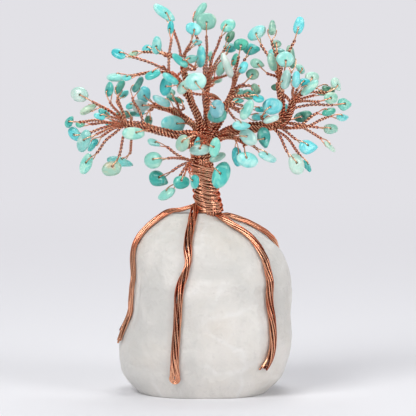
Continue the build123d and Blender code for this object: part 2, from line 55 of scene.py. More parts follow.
def unit(a):
    return a / np.maximum(np.linalg.norm(a, axis=-1, keepdims=True), 1e-9)


def clamp(value):
    return np.clip(value, 0, 1)


def linear(red, green, blue):  # screen colour 0-255 to the linear value a shader wants
    c = np.array([red, green, blue], float) / 255
    return tuple(np.where(c <= 0.04045, c / 12.92, ((c + 0.055) / 1.055) ** 2.4))


def softNoise(points, size, seed):
    # Random values on a cubic lattice, blended between its corners by 3f^2 - 2f^3: -1 to 1.
    table = np.random.default_rng(seed).uniform(-1, 1, 4096)
    p = np.asarray(points, float) / size + 100
    cell = np.floor(p).astype(np.int64)
    f = p - cell
    f = f * f * (3 - 2 * f)
    total = np.zeros(p.shape[:-1])
    for corner in np.ndindex(2, 2, 2):
        c = cell + np.array(corner)
        key = (c[..., 0] * 73856093) ^ (c[..., 1] * 19349663) ^ (c[..., 2] * 83492791)
        weight = np.where(np.array(corner) == 1, f, 1 - f).prod(-1)
        total += weight * table[key & 4095]
    return total


def onLine(s, second=0.0, third=0.0):
    # Places for noise along a line: the first coordinate runs, the others are fixed.
    return np.stack([s, s * 0 + second, s * 0 + third], 1)


def circled(angle, side, up):  # directions at angles that turn from side towards up
    return np.cos(angle)[..., None] * side + np.sin(angle)[..., None] * up


def roundCorners(points, passes):
    # Corner cutting: each run keeps its middle half, so a corner becomes a curve; ends stay.
    for _ in range(passes):
        a, b = points[:-1], points[1:]
        cut = np.stack([0.75 * a + 0.25 * b, 0.25 * a + 0.75 * b], 1).reshape(-1, 3)
        points = np.concatenate([points[:1], cut, points[-1:]])
    return points


def distances(points):  # length along a path up to each of its points
    return np.concatenate([[0], np.cumsum(np.linalg.norm(np.diff(points, axis=0), axis=1))])


def pointAt(points, distance):
    s = distances(points)
    return np.stack([np.interp(distance, s, points[:, k]) for k in range(3)], -1)


def evenly(points, step):  # the same path with points a fixed step apart along its length
    length = distances(points)[-1]
    return pointAt(points, np.linspace(0, length, max(int(length / step), 2) + 1))


def throughPoints(knots, values, at):
    # A smooth curve through values: cubic pieces whose slope at a knot is that of its neighbours.
    knots, values = np.asarray(knots, float), np.asarray(values, float)
    slopes = np.gradient(values, knots, axis=0)
    i = np.clip(np.searchsorted(knots, at, side="right") - 1, 0, len(knots) - 2)
    step = (knots[i + 1] - knots[i])[:, None]
    f = ((at - knots[i]) / step[:, 0])[:, None]
    return ((2 * f ** 3 - 3 * f ** 2 + 1) * values[i] + (f ** 3 - 2 * f ** 2 + f) * step * slopes[i]
            + (3 * f ** 2 - 2 * f ** 3) * values[i + 1] + (f ** 3 - f ** 2) * step * slopes[i + 1])


def acrossPath(points, reference=None):
    # Heading, and two directions square to it, measured from the direction the path uses least.
    heading = unit(np.gradient(points, axis=0))
    if reference is None:
        reference = np.linalg.svd(heading, full_matrices=True)[2][2]
    side = unit(reference - (heading @ reference)[:, None] * heading)
    return heading, side, np.cross(heading, side)


def gridQuads(rows, columns, ring=False):
    # Faces of a grid whose columns close round it; as a ring, its last row joins the first.
    i = np.arange(rows if ring else rows - 1)[:, None] * columns
    j = np.arange(columns)
    k, below = (j + 1) % columns, (i + columns) % (rows * columns)
    return np.stack([i + j, i + k, below + k, below + j], -1).reshape(-1, 4)


def endFans(columns, first, last, middle):
    # Triangles from a tube's first and last ring to the two points that close it.
    j = np.arange(columns)
    k, full = (j + 1) % columns, np.full(columns, middle)
    return np.concatenate([np.stack([full, first + k, first + j], 1),
                           np.stack([full + 1, last + j, last + k], 1)])


class Surface:
    # Collects points and faces of many small grids, so that a piece is one mesh.
    def __init__(self):
        self.points, self.quads, self.tris, self.tones, self.outer, self.count = [], [], [], [], [], 0

    def add(self, points, quads, tris=None, tone=None):
        self.points.append(points)
        self.quads.append(quads + self.count)
        if tris is not None:
            self.tris.append(tris + self.count)
        if tone is not None:
            self.tones.append(np.repeat(tone[None], len(points), 0))
        self.count += len(points)

    def tube(self, path, radius, sides, reference=None, outward=None):
        # A ring of points cos(a) side + sin(a) up round every point of the path, closed at both ends.
        # Its outer share is 1 where the skin faces outward, and -1 where it faces its neighbours; the
        # copper paints shade where it is low.
        heading, side, up = acrossPath(path, reference)
        around = circled(np.arange(sides) * fullTurn / sides, side[:, None], up[:, None])
        ring = path[:, None] + np.broadcast_to(radius, len(path))[:, None, None] * around
        outer = np.ones((len(path), sides)) if outward is None else (around * outward[:, None]).sum(-1)
        self.outer.append(np.concatenate([outer.ravel(), [0.0, 0.0]]))
        size = len(path) * sides
        self.add(np.concatenate([ring.reshape(-1, 3), path[:1], path[-1:]]),
                 gridQuads(len(path), sides), endFans(sides, 0, size - sides, size))

    def piece(self, name, material, slot, replaced, body=None, bend=None):
        # Puts the collected faces in one mesh, and ties the piece to what carries it; a piece given a bend
        # is not tied, it only has its place baked into its points.
        points = np.concatenate(self.points) * metre
        quads = np.concatenate(self.quads)
        tris = np.concatenate(self.tris) if self.tris else np.zeros((0, 3), int)
        corners = np.concatenate([quads.ravel(), tris.ravel()]).astype(np.int32)
        starts = np.concatenate([np.arange(len(quads)) * 4, len(quads) * 4 + np.arange(len(tris)) * 3])
        mesh = bpy.data.meshes.new(name)
        mesh.vertices.add(len(points))
        mesh.vertices.foreach_set("co", points.astype(np.float32).ravel())
        mesh.loops.add(len(corners))
        mesh.loops.foreach_set("vertex_index", corners)
        mesh.polygons.add(len(starts))
        mesh.polygons.foreach_set("loop_start", starts.astype(np.int32))
        mesh.update(calc_edges=True)
        mesh.polygons.foreach_set("use_smooth", np.ones(len(starts), bool))
        if self.tones:
            tones = np.concatenate(self.tones)
            for label, columns in (("bodyTone", slice(0, 3)), ("streakTone", slice(3, 6))):
                layer = mesh.color_attributes.new(label, "FLOAT_COLOR", "POINT")
                rgba = np.concatenate([tones[:, columns], np.ones((len(tones), 1))], 1)
                layer.data.foreach_set("color", rgba.astype(np.float32).ravel())
        # The outer shares go with the mesh as the mask of the copper's painted shade.
        if self.outer:
            mesh.attributes.new("unshadedShare", "FLOAT", "POINT").data.foreach_set(
                "value", np.concatenate(self.outer).astype(np.float32))
        mesh.materials.append(material)
        obj = bpy.data.objects.new(name, mesh)
        scene.collection.objects.link(obj)
        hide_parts(*replaced)
        if bend:
            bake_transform(obj)
        else:
            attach(obj, body)


def fill(tree, node, values):
    # Sets a node's inputs; the output of another node is linked to the input instead.
    for key, value in values.items():
        socket = node.inputs[key]
        if isinstance(value, bpy.types.NodeSocket):
            tree.links.new(value, socket)
        else:
            socket.default_value = (*value, 1) if socket.type == "RGBA" else value


def addNode(tree, kind, values=None, **settings):
    node = tree.nodes.new("ShaderNode" + kind)
    for key, value in settings.items():
        setattr(node, key, value)
    fill(tree, node, values or {})
    return node


def mathNode(tree, operation, *values):
    return addNode(tree, "Math", dict(enumerate(values)), operation=operation).outputs[0]


def mixNode(tree, factor, a, b, blend="MIX"):
    return addNode(tree, "Mix", {0: factor, 6: a, 7: b}, data_type="RGBA", blend_type=blend).outputs[2]


def rampNode(tree, factor, low, high, start=0.0, finish=1.0):
    # From start below low to finish above high, with a soft step between.
    return addNode(tree, "MapRange", {0: factor, 1: low, 2: high, 3: start, 4: finish},
                   interpolation_type="SMOOTHSTEP").outputs[0]


def noiseNode(tree, place, scale, detail, roughness=0.5, warp=0.0):
    return addNode(tree, "TexNoise", {"Vector": place, "Scale": scale, "Detail": detail,
                                      "Roughness": roughness, "Distortion": warp}).outputs


def makeCloudGroup():
    # Two sizes of noise on a place: Patches is large and soft, Grain is fine and even.
    group = bpy.data.node_groups.new("cloudsAndGrain", "ShaderNodeTree")
    for way, kind, labels in (("INPUT", "Vector", ("Place",)), ("OUTPUT", "Float", ("Patches", "Grain")),
                              ("INPUT", "Float", ("Patch Scale", "Grain Scale", "Warp"))):
        for label in labels:
            group.interface.new_socket(label, in_out=way, socket_type="NodeSocket" + kind)
    enter = group.nodes.new("NodeGroupInput").outputs
    patches = noiseNode(group, enter["Place"], enter["Patch Scale"], 4.0, 0.55, enter["Warp"])
    grain = noiseNode(group, enter["Place"], enter["Grain Scale"], 2.0, 0.6)
    fill(group, group.nodes.new("NodeGroupOutput"), {"Patches": patches["Fac"], "Grain": grain["Fac"]})
    return group


cloudGroup = makeCloudGroup()


def startMaterial(name, look, warp):
    material = bpy.data.materials.new(name)
    material.use_nodes = True
    tree = material.node_tree
    place = addNode(tree, "TexCoord").outputs["Object"]
    clouds = addNode(tree, "Group", node_tree=cloudGroup)
    fill(tree, clouds, {"Place": place, "Patch Scale": look["patchScale"],
                        "Grain Scale": look["grainScale"], "Warp": warp})
    return material, tree, place, clouds.outputs["Patches"], clouds.outputs["Grain"]


def finishMaterial(tree, look, rough, height, strength, distance, values):
    # Roughness varies round its middle value, and a fine relief is given by a height.
    low = look["rough"] - look["roughSpread"] / 2
    bump = addNode(tree, "Bump", {"Height": height, "Strength": strength, "Distance": distance})
    fill(tree, tree.nodes["Principled BSDF"], {
        **values, "Roughness": mathNode(tree, "MULTIPLY_ADD", rough, look["roughSpread"], low),
        "Normal": bump.outputs["Normal"]})


def makeCopper(name, look):
    # Bare copper: warm, browner in soft patches, with painted shade between wires where they face their
    # neighbours, and the grain of drawn wire.
    material, tree, place, patches, grain = startMaterial(name, look, 0.4)
    colour = mixNode(tree, rampNode(tree, patches, 0.42, 0.7, 0.0, look["tarnishShare"]),
                     linear(*look["bright"]), linear(*look["tarnish"]))
    # Painted shade: the colour turns to the dark shade colour where a wire's skin faces its neighbours (a
    # low outer share), standing in for the shadow in the gaps between wires.
    outer = addNode(tree, "Attribute", attribute_name="unshadedShare").outputs["Fac"]
    grooveShade = rampNode(tree, outer, look["grooveFrom"], look["grooveTo"], look["grooveShare"], 0.0)
    colour = mixNode(tree, grooveShade, colour, linear(*look["grooveShade"]))
    shade = mixNode(tree, rampNode(tree, grain, 0.3, 0.7), (0.82, 0.82, 0.82), (1.0, 1.0, 1.0))
    finishMaterial(tree, look, grain, grain, 0.15, 0.00003, {
        "Base Color": mixNode(tree, 1.0, colour, shade, "MULTIPLY"),
        "Metallic": look["metal"], "Specular Tint": linear(*look["edge"])})
    return material


# In each copper look, the dark colour between wires and its from, to and share values are painted shade:
# its colour, the outer shares over which it fades out, and how strong it is.
twigCopperLook = {
    "bright": (255, 202, 166), "tarnish": (252, 126, 88), "tarnishShare": 0.5, "metal": 0.8,
    "edge": (255, 160, 120), "grooveShade": (156, 38, 18), "grooveFrom": 0.2, "grooveTo": 0.87,
    "grooveShare": 0.97, "rough": 0.17, "roughSpread": 0.12, "patchScale": 160.0, "grainScale": 2600.0,
}
rootCopperLook = {
    "bright": (252, 190, 154), "tarnish": (242, 122, 86), "tarnishShare": 0.55, "metal": 0.85,
    "edge": (255, 170, 130), "grooveShade": (122, 30, 14), "grooveFrom": 0.1, "grooveTo": 0.95,
    "grooveShare": 0.95, "rough": 0.19, "roughSpread": 0.12, "patchScale": 90.0, "grainScale": 2200.0,
}
windingCopperLook = {
    "bright": (255, 190, 156), "tarnish": (238, 106, 76), "tarnishShare": 0.55, "metal": 0.85,
    "edge": (255, 160, 124), "grooveShade": (122, 28, 14), "grooveFrom": 0.05, "grooveTo": 0.9,
    "grooveShare": 0.95, "rough": 0.18, "roughSpread": 0.12, "patchScale": 120.0, "grainScale": 2400.0,
}
twigCopper = makeCopper("twigCopper", twigCopperLook)
rootCopper = makeCopper("rootCopper", rootCopperLook)
windingCopper = makeCopper("windingCopper", windingCopperLook)

amazoniteLook = {
    "patchScale": 190.0, "grainScale": 1500.0, "vein": (222, 238, 226), "veinScale": 420.0,
    "veinShare": 0.5, "speck": (70, 110, 96), "speckShare": 0.14, "rough": 0.3, "roughSpread": 0.16,
    "coat": 0.35, "depth": 0.16,
}


def makeAmazonite(look):
    # Each chip brings its body and streak tone; the streaks are stretched clouds with pale veins.
    material, tree, place, patches, grain = startMaterial("amazonite", look, 1.1)
    body, streak = [addNode(tree, "Attribute", attribute_name=label).outputs["Color"]
                    for label in ("bodyTone", "streakTone")]
    colour = mixNode(tree, rampNode(tree, patches, 0.46, 0.66), body, streak)
    stretch = addNode(tree, "Mapping", {"Vector": place, "Rotation": (0.4, 0.9, 0.3),
                                        "Scale": (1.0, 1.0, 0.28)}).outputs["Vector"]
    veins = noiseNode(tree, stretch, look["veinScale"], 6.0, 0.7, 0.5)["Fac"]
    colour = mixNode(tree, rampNode(tree, veins, 0.55, 0.75, 0.0, look["veinShare"]), colour,
                     linear(*look["vein"]))
    colour = mixNode(tree, rampNode(tree, grain, 0.62, 0.72, 0.0, look["speckShare"]), colour,
                     linear(*look["speck"]))
    finishMaterial(tree, look, patches, grain, 0.12, 0.00008, {
        "Base Color": colour, "Coat Weight": look["coat"], "Coat Roughness": 0.12,
        "Subsurface Weight": look["depth"], "Subsurface Radius": (0.6, 1.0, 0.9),
        "Subsurface Scale": 0.0012})
    return material


amazonite = makeAmazonite(amazoniteLook)

quartzLook = {
    "pale": (231, 227, 221), "cool": (212, 210, 205), "warm": (220, 212, 201), "warmShare": 0.45,
    "fracture": (240, 239, 237), "fractureScale": 46.0, "fractureShare": 0.4, "dust": (196, 193, 189),
    "dustShare": 0.25, "patchScale": 34.0, "grainScale": 520.0, "rough": 0.46, "roughSpread": 0.22,
    "depth": 0.3,
}


def makeQuartz(look):
    # Frosted quartz: milky clouds of cool and warm white, with thin pale fracture sheets.
    material, tree, place, patches, grain = startMaterial("frostedQuartz", look, 0.8)
    colour = mixNode(tree, rampNode(tree, patches, 0.35, 0.68), linear(*look["cool"]),
                     linear(*look["pale"]))
    bend = noiseNode(tree, place, 55.0, 3.0)
    moved = addNode(tree, "VectorMath", {0: bend["Color"], 1: (0.012, 0.012, 0.02), 2: place},
                    operation="MULTIPLY_ADD").outputs[0]
    sheets = addNode(tree, "TexVoronoi", {"Vector": moved, "Scale": look["fractureScale"]},
                     feature="DISTANCE_TO_EDGE").outputs["Distance"]
    fracture = mathNode(tree, "MULTIPLY", rampNode(tree, sheets, 0.0, 0.07, 1.0, 0.0),
                        rampNode(tree, patches, 0.45, 0.6, 0.0, look["fractureShare"]))
    dust = rampNode(tree, grain, 0.58, 0.74, 0.0, look["dustShare"])
    warm = rampNode(tree, bend["Fac"], 0.5, 0.75, 0.0, look["warmShare"])
    for factor, tone in ((fracture, "fracture"), (warm, "warm"), (dust, "dust")):
        colour = mixNode(tree, factor, colour, linear(*look[tone]))
    height = mathNode(tree, "MULTIPLY_ADD", grain, 0.35, bend["Fac"])
    finishMaterial(tree, look, grain, height, 0.75, 0.0015, {
        "Base Color": colour, "Subsurface Weight": look["depth"],
        "Subsurface Radius": (1.0, 1.0, 1.0), "Subsurface Scale": 0.004})
    return material


frostedQuartz = makeQuartz(quartzLook)
print("materials ready")


# The picture of the tree: pixels across the crown, its depth, and the view's tilt.
crown = {
    "width": 102.6, "depth": 56.0, "spanPx": 270, "axisPx": 205, "trunkTopPx": 160,
    "tilt": np.radians(6), "trunkTop": 88.0, "picturePx": 416,
}
pixel = crown["width"] / crown["spanPx"]


def spot(u, v, depthShare):
    # A picture point as a place: right from u, up from v, and forward by a share of the depth.
    forward = depthShare * crown["depth"]
    rise = ((crown["trunkTopPx"] - v) * pixel + forward * np.sin(crown["tilt"])) / np.cos(crown["tilt"])
    return np.array([(u - crown["axisPx"]) * pixel, -forward, crown["trunkTop"] + rise])


# Each branch's way as pixel, pixel and forward share; its radius; how far its twigs spread in pixels;
# how many twisted pairs run in it; where its wires stand in the trunk's head, in degrees; how far
# along its first run it bends; and how far along it the first twig may leave, as a share.
branches = {
    "left": {"way": [(200, 132, 0.02), (174, 136, 0.04), (148, 127, 0.05), (116, 124, 0.02)],
             "radius": 1.3, "spread": 40, "pairs": 6, "stand": 195, "bend": 0.72},
    "midLeft": {"way": [(202, 129, -0.02), (184, 117, -0.12), (168, 109, -0.2), (150, 102, -0.24)],
                "radius": 1.1, "spread": 28, "pairs": 5, "stand": 140},
    "upperLeft": {"way": [(204, 125, 0.0), (193, 105, 0.06), (179, 81, 0.12), (161, 69, 0.14)],
                  "radius": 1.25, "spread": 32, "pairs": 6, "stand": 225, "bend": 0.7},
    "topLeft": {"way": [(193, 105, 0.06), (185, 78, -0.04), (181, 51, -0.1)],
                "radius": 1.05, "spread": 30, "pairs": 4, "stand": 165},
    "topCentre": {"way": [(209, 127, -0.04), (206, 98, -0.14), (207, 76, -0.16)],
                  "radius": 1.15, "spread": 38, "pairs": 5, "stand": 95, "bend": 0.75},
    "centre": {"way": [(213, 126, 0.06), (219, 111, 0.14), (222, 100, 0.18)],
               "radius": 1.1, "spread": 32, "pairs": 5, "stand": 290, "first": 0.85},
    "upperMiddle": {"way": [(214, 128, -0.02), (228, 103, -0.12), (237, 82, -0.14)],
                    "radius": 1.1, "spread": 28, "pairs": 5, "stand": 45, "bend": 0.72},
    "rightLow": {"way": [(224, 131, 0.02), (256, 127, 0.05), (283, 125, 0.06)],
                 "radius": 1.6, "spread": 36, "pairs": 9, "stand": 350, "bend": 0.8},
    "rightTop": {"way": [(283, 125, 0.06), (292, 111, 0.08), (292, 97, 0.1)],
                 "radius": 1.2, "spread": 34, "pairs": 6, "bend": 0.62},
    "upperRight": {"way": [(283, 125, 0.06), (281, 98, -0.02), (278, 71, -0.06)],
                   "radius": 1.1, "spread": 32, "pairs": 5, "bend": 0.5},
    "lowerRight": {"way": [(226, 134, 0.08), (244, 143, 0.18), (254, 146, 0.2)],
                   "radius": 0.9, "spread": 22, "pairs": 3, "stand": 320, "first": 0.3},
    "lowerLeft": {"way": [(203, 158, 0.04), (190, 161, 0.12)],
                  "radius": 1.05, "spread": 30, "pairs": 4, "stand": 205, "first": 0.8},
    "frontLow": {"way": [(208, 136, 0.08), (208, 142, 0.16)],
                 "radius": 1.05, "spread": 24, "pairs": 4, "stand": 265, "first": 0.9},
}
ways = {name: np.array([spot(*place) for place in branch["way"]]) for name, branch in branches.items()}
bendsWith = {"topLeft": "upperLeft"}
grownFrom = {"rightTop": "rightLow", "upperRight": "rightLow"}
# The stone at the trunk's right: its twig leaves the trunk itself, at a place of its own.
loneStone, loneFork = ("lowerLeft", 6), spot(207, 168, 0.03)


def nodeName(name):  # topLeft becomes top_left
    return "".join("_" + letter.lower() if letter.isupper() else letter for letter in name)


def limbOf(name):  # the body that carries a branch's far part, its twigs and its stones
    mover = bendsWith.get(name, name)
    return nodeName(mover) + "_limb" if "bend" in branches[mover] else "root"


# The trunk's foot on the quartz and its head under the crown.
foot = np.array([4 * pixel, -1.0, 68.0])
head = spot(201.5, 160, 0.0)
trunkAxis = unit(head - foot)

# How far a stone is turned about its own length: flat side to the viewer, half way, edge on.
flat, half, edge = 15, 50, 78

# Stones: pixel, pixel, length and width in pixels, slant, forward share, turn, tone.
stones = {
    "left": [
        (80, 95, 17, 15, -20, 0.2, flat, "paleMint"), (88.5, 109.5, 17, 8, 34, 0.1, -edge, "paleGreen"),
        (104, 113, 12, 8, -30, -0.5, half, "turquoise"), (100, 117, 11, 7, -20, 0.6, half, "aqua"),
        (111, 123, 11, 7, 20, -0.9, half, "turquoise"), (70, 122, 12, 10, 60, 0.3, flat, "teal"),
        (80, 124, 9, 8, 0, -0.4, half, "seaGreen"), (75, 134, 15, 13, -45, 0.2, -flat, "aqua"),
        (85, 141.5, 22, 14, 70, 0.7, flat, "greyAqua"), (92.5, 145, 14, 8, 50, -0.5, edge, "turquoise"),
        (110, 90, 14, 10, 80, 0.5, half, "teal"), (119.5, 87, 15, 8, 60, -0.3, edge, "seaGreen"),
        (124, 94, 10, 8, 40, -0.7, -half, "aqua"), (126, 114, 19, 8, 8, -0.6, edge, "sageTeal"),
        (122, 121.5, 11, 7, 0, -1.2, half, "aqua"), (138, 85, 16, 8, 60, 0.0, -edge, "darkTeal"),
        (86.5, 164, 20, 13, 68, 0.2, flat, "aquaMint"), (120, 162, 24, 12, -12, -0.1, half, "lightAqua"),
        (112, 169, 19, 15, 10, 0.4, flat, "sageTan"), (134, 134, 21, 13, 0, 0.7, flat, "mint"),
    ],
    "midLeft": [
        (144, 94.5, 16, 14, 75, 0.5, flat, "blueAqua"), (141, 106, 16, 15, 0, 0.9, flat, "greyMint"),
        (138, 112, 12, 9, 10, -0.2, half, "turquoise"), (130, 105, 10, 8, 20, -0.5, half, "aquaTeal"),
        (148, 120, 10, 9, 80, -0.6, -half, "darkSage"), (161.5, 101, 18, 9, -30, 1.2, edge, "lightAqua"),
        (170, 93, 10, 9, 0, 0.9, flat, "aquaMint"), (175, 99, 18, 7, -15, 0.4, edge, "emerald"),
        (173, 124.5, 23, 18, -5, 0.9, flat, "brightAqua"),
    ],
    "upperLeft": [
        (119, 55, 15, 10, -25, 0.1, half, "turquoise"), (115.6, 78, 16, 9, 0, -0.2, edge, "paleAqua"),
        (127, 79, 10, 7, 0, 0.3, half, "aqua"), (153, 76, 15, 10, 25, 0.5, half, "aquaTeal"),
        (171, 28.6, 12, 7, 85, -0.2, half, "turquoise"), (171, 80, 17, 8, -35, 0.7, edge, "turquoise"),
        (166, 87, 18, 12, 80, 0.2, flat, "turquoise"), (180, 62, 18, 10, -40, 0.6, half, "aquaTeal"),
    ],
    "topLeft": [
        (164, 13, 24, 11, -38, 0.1, half, "lightAqua"), (133, 54, 13, 8, 25, -0.2, half, "paleGreen"),
        (147, 48, 10, 9, 0, -0.5, half, "aqua"), (157, 45.6, 17, 11, 85, 0.4, flat, "lightAqua"),
        (193.6, 29.5, 15, 12, -20, 0.4, flat, "brightAqua"), (197, 42.4, 10, 7, 0, 0.1, half, "lightAqua"),
        (191, 60, 12, 9, 20, 0.9, half, "sageTeal"), (198, 57.6, 10, 7, 60, -0.6, half, "darkGreen"),
        (201, 57, 20, 8, 85, 0.5, edge, "aqua"),
    ],
    "topCentre": [
        (206.5, 21.4, 19, 18, 0, 0.1, flat, "sageMint"), (200, 11, 20, 9, 55, -0.3, edge, "mint"),
        (228, 26, 15, 13, 30, 0.3, half, "aquaMint"), (230, 36, 12, 9, 60, -0.3, half, "darkGreen"),
        (230, 47, 12, 11, 0, -0.6, half, "aquaTeal"), (210, 55, 10, 7, 80, -0.7, half, "paleAqua"),
        (221, 69, 14, 8, 70, 0.5, edge, "sageMint"), (216, 79, 12, 8, 0, -0.6, half, "mint"),
        (188, 76, 12, 8, 0, -0.6, half, "paleMint"), (227, 66, 24, 9, -70, 0.9, edge, "whiteMint"),
    ],
    "centre": [
        (196, 83, 20, 18, 0, 0.9, flat, "paleAqua"), (184.5, 87, 18, 12, 50, 0.4, flat, "paleMint"),
        (217, 110, 17, 15, 80, 0.8, flat, "greyBlue"), (217, 116, 18, 17, 0, 0.45, half, "darkTeal"),
        (246.5, 111, 20, 9, 62, 0.5, edge, "aquaMint"), (238.5, 101, 10, 7, 0, -0.7, half, "teal"),
        (258, 99.6, 11, 9, 0, 0.3, half, "turquoise"), (260, 110, 11, 7, 0, -0.3, half, "turquoise"),
        (260, 117, 17, 7, 5, -0.6, edge, "aqua"), (241, 126.4, 17, 11, 0, 0.5, half, "lightAqua"),
    ],
    "upperMiddle": [
        (241, 45, 14, 12, 0, 0.5, flat, "emerald"), (251.6, 49, 17, 15, 0, 0.1, half, "aquaTeal"),
        (235, 59.4, 12, 8, 70, 0.2, half, "seaGreen"), (243, 68, 12, 10, 60, 0.7, half, "brightAqua"),
        (252.5, 74.5, 14, 13, 0, 0.5, flat, "sage"), (250, 94, 14, 13, 0, -0.4, half, "seaGreen"),
        (256, 89, 11, 8, -60, 0.4, edge, "darkSage"), (239, 91, 10, 8, 0, -0.8, half, "paleAqua"),
    ],
    "upperRight": [
        (257, 33, 21, 14, 30, -0.1, flat, "lightAqua"), (272, 28, 14, 8, 85, 0.1, edge, "sage"),
        (276, 44, 10, 9, 0, -0.1, half, "sage"), (298.5, 26, 17, 11, 75, 0.1, flat, "brightAqua"),
        (277, 52.4, 16, 10, 0, -0.3, half, "lightAqua"), (272, 62.7, 17, 9, -70, 0.5, edge, "sageMint"),
        (285, 60.4, 16, 16, 0, 0.8, flat, "paleAqua"), (291, 57, 22, 9, -80, -0.2, edge, "sage"),
        (300, 69, 11, 9, -50, 0.1, half, "aquaMint"), (257.5, 64, 16, 12, -10, 0.2, flat, "sageMint"),
    ],
    "rightTop": [
        (285, 80.6, 18, 12, 80, 0.6, half, "greyMint"), (295, 80.6, 15, 9, 85, 0.9, edge, "brightAqua"),
        (304, 83, 11, 9, 0, 0.2, half, "turquoise"), (311.6, 77.7, 14, 12, 0, -0.3, flat, "paleMint"),
        (309, 88.7, 20, 8, 38, 0.6, edge, "mint"), (335.5, 85.4, 14, 12, -50, 0.1, flat, "paleMint"),
        (328, 89.7, 13, 7, -15, -0.2, edge, "darkGreen"), (322, 92.5, 10, 8, 0, -0.5, half, "darkSage"),
        (330, 99, 14, 12, 0, 0.6, flat, "sageMint"), (344, 104.5, 15, 14, 0, -0.2, flat, "aquaMint"),
        (277, 86.7, 11, 8, 0, -1.4, half, "darkGreen"),
    ],
    "rightLow": [
        (328, 112.6, 14, 7, 20, 0.6, edge, "seaGreen"), (342.7, 117.4, 14, 9, 0, -0.5, half, "brightAqua"),
        (303, 116.5, 17, 11, 15, -0.5, flat, "darkEmerald"),
        (330.5, 129, 16, 11, 0, -0.35, flat, "sageMint"), (329.5, 147, 15, 7, -40, 0.1, half, "paleMint"),
        (308, 147, 18, 16, 0, 0.4, flat, "brightAqua"), (296, 164.6, 20, 16, -70, 0.2, flat, "whiteMint"),
        (307, 166, 13, 8, -60, -0.2, half, "aquaTeal"), (272, 107, 18, 17, 0, 0.6, flat, "blueAqua"),
        (286, 110, 12, 8, 90, -0.8, half, "turquoise"), (270.6, 120, 15, 7, 15, 0.7, edge, "whiteMint"),
    ],
    "lowerRight": [
        (267, 157.5, 18, 10, -20, 0.2, half, "paleAqua"), (264, 138.5, 20, 15, -80, -0.5, flat, "teal"),
        (248, 137.6, 18, 14, -40, 0.3, flat, "greyMint"), (237, 157, 18, 11, -80, -0.3, half, "turquoise"),
        (247, 160.4, 20, 15, -15, 0.5, flat, "lightAqua"),
    ],
    "lowerLeft": [
        (153.4, 160.6, 18, 17, 0, 0.2, flat, "mint"), (159, 179, 20, 17, -20, -0.2, flat, "teal"),
        (167, 194, 18, 12, 25, 0.3, half, "mint"), (181.5, 182.5, 15, 14, 0, 0.5, flat, "teal"),
        (195, 181.7, 13, 10, 85, 0.9, half, "aquaTeal"), (154.4, 143, 14, 8, -20, -0.3, half, "paleAqua"),
        (221, 175.3, 25, 17, 65, 0.5, flat, "aquaTeal"),
    ],
    "frontLow": [
        (199.6, 150.5, 19, 11, 5, 0.6, flat, "greyMint"), (197.5, 143, 11, 8, 80, -0.2, half, "aqua"),
        (214.8, 148, 18, 11, 80, 1.0, flat, "aquaMint"), (217.5, 157.7, 16, 9, 20, 0.5, half, "greySage"),
        (183, 144, 16, 15, 60, 0.9, flat, "sageTan"),
    ],
}

# Eight corners of each stone's outline, as shares of its half length and half width.
outlines = np.array([
    [(0.98, 0.2), (0.62, 0.78), (0.1, 1.0), (-0.52, 0.85),
     (-0.97, 0.24), (-0.8, -0.6), (-0.12, -0.98), (0.72, -0.68)],
    [(0.99, -0.1), (0.52, 0.5), (-0.05, 0.86), (-0.62, 0.78),
     (-0.98, 0.2), (-0.86, -0.5), (-0.3, -0.95), (0.45, -0.66)],
    [(1.0, 0.05), (0.72, 0.68), (0.14, 0.98), (-0.6, 0.8),
     (-1.0, 0.06), (-0.68, -0.72), (0.02, -1.0), (0.66, -0.74)],
    [(0.94, 0.34), (0.7, 0.7), (-0.1, 0.92), (-0.74, 0.66),
     (-0.96, -0.12), (-0.7, -0.7), (0.1, -0.96), (0.86, -0.5)],
])


# A twig heads for its stone from a place further back, no nearer the bend than the clearance, and
# leaves its branch a share of the way from there to where the stone is nearest.
forkShape = {"reach": 8.0, "backShare": 0.8, "farthestBack": 9.0, "clearance": 1.6, "leaveShare": 0.6}


def forkSpot(name, target):
    # How far along its branch a stone's wire heads for it, and how far along it really leaves.
    way, branch = ways[name], branches[name]
    total = distances(way)[-1]
    first = total * branch.get("first", 0)
    if "bend" in branch:
        first = np.linalg.norm((way[1] - way[0]) * branch["bend"]) + forkShape["clearance"]
    tries = np.linspace(0, total, 41)
    gaps = np.linalg.norm(pointAt(way, tries) - target, axis=1)
    aside, nearest = gaps.min(), tries[gaps.argmin()]
    back = max(min(forkShape["backShare"] * aside, forkShape["farthestBack"]),
               np.sqrt(max(forkShape["reach"] ** 2 - aside ** 2, 0)))
    forkAt = min(max(nearest - back, first), total)
    return forkAt, forkAt + max(nearest - forkAt, 0) * forkShape["leaveShare"]


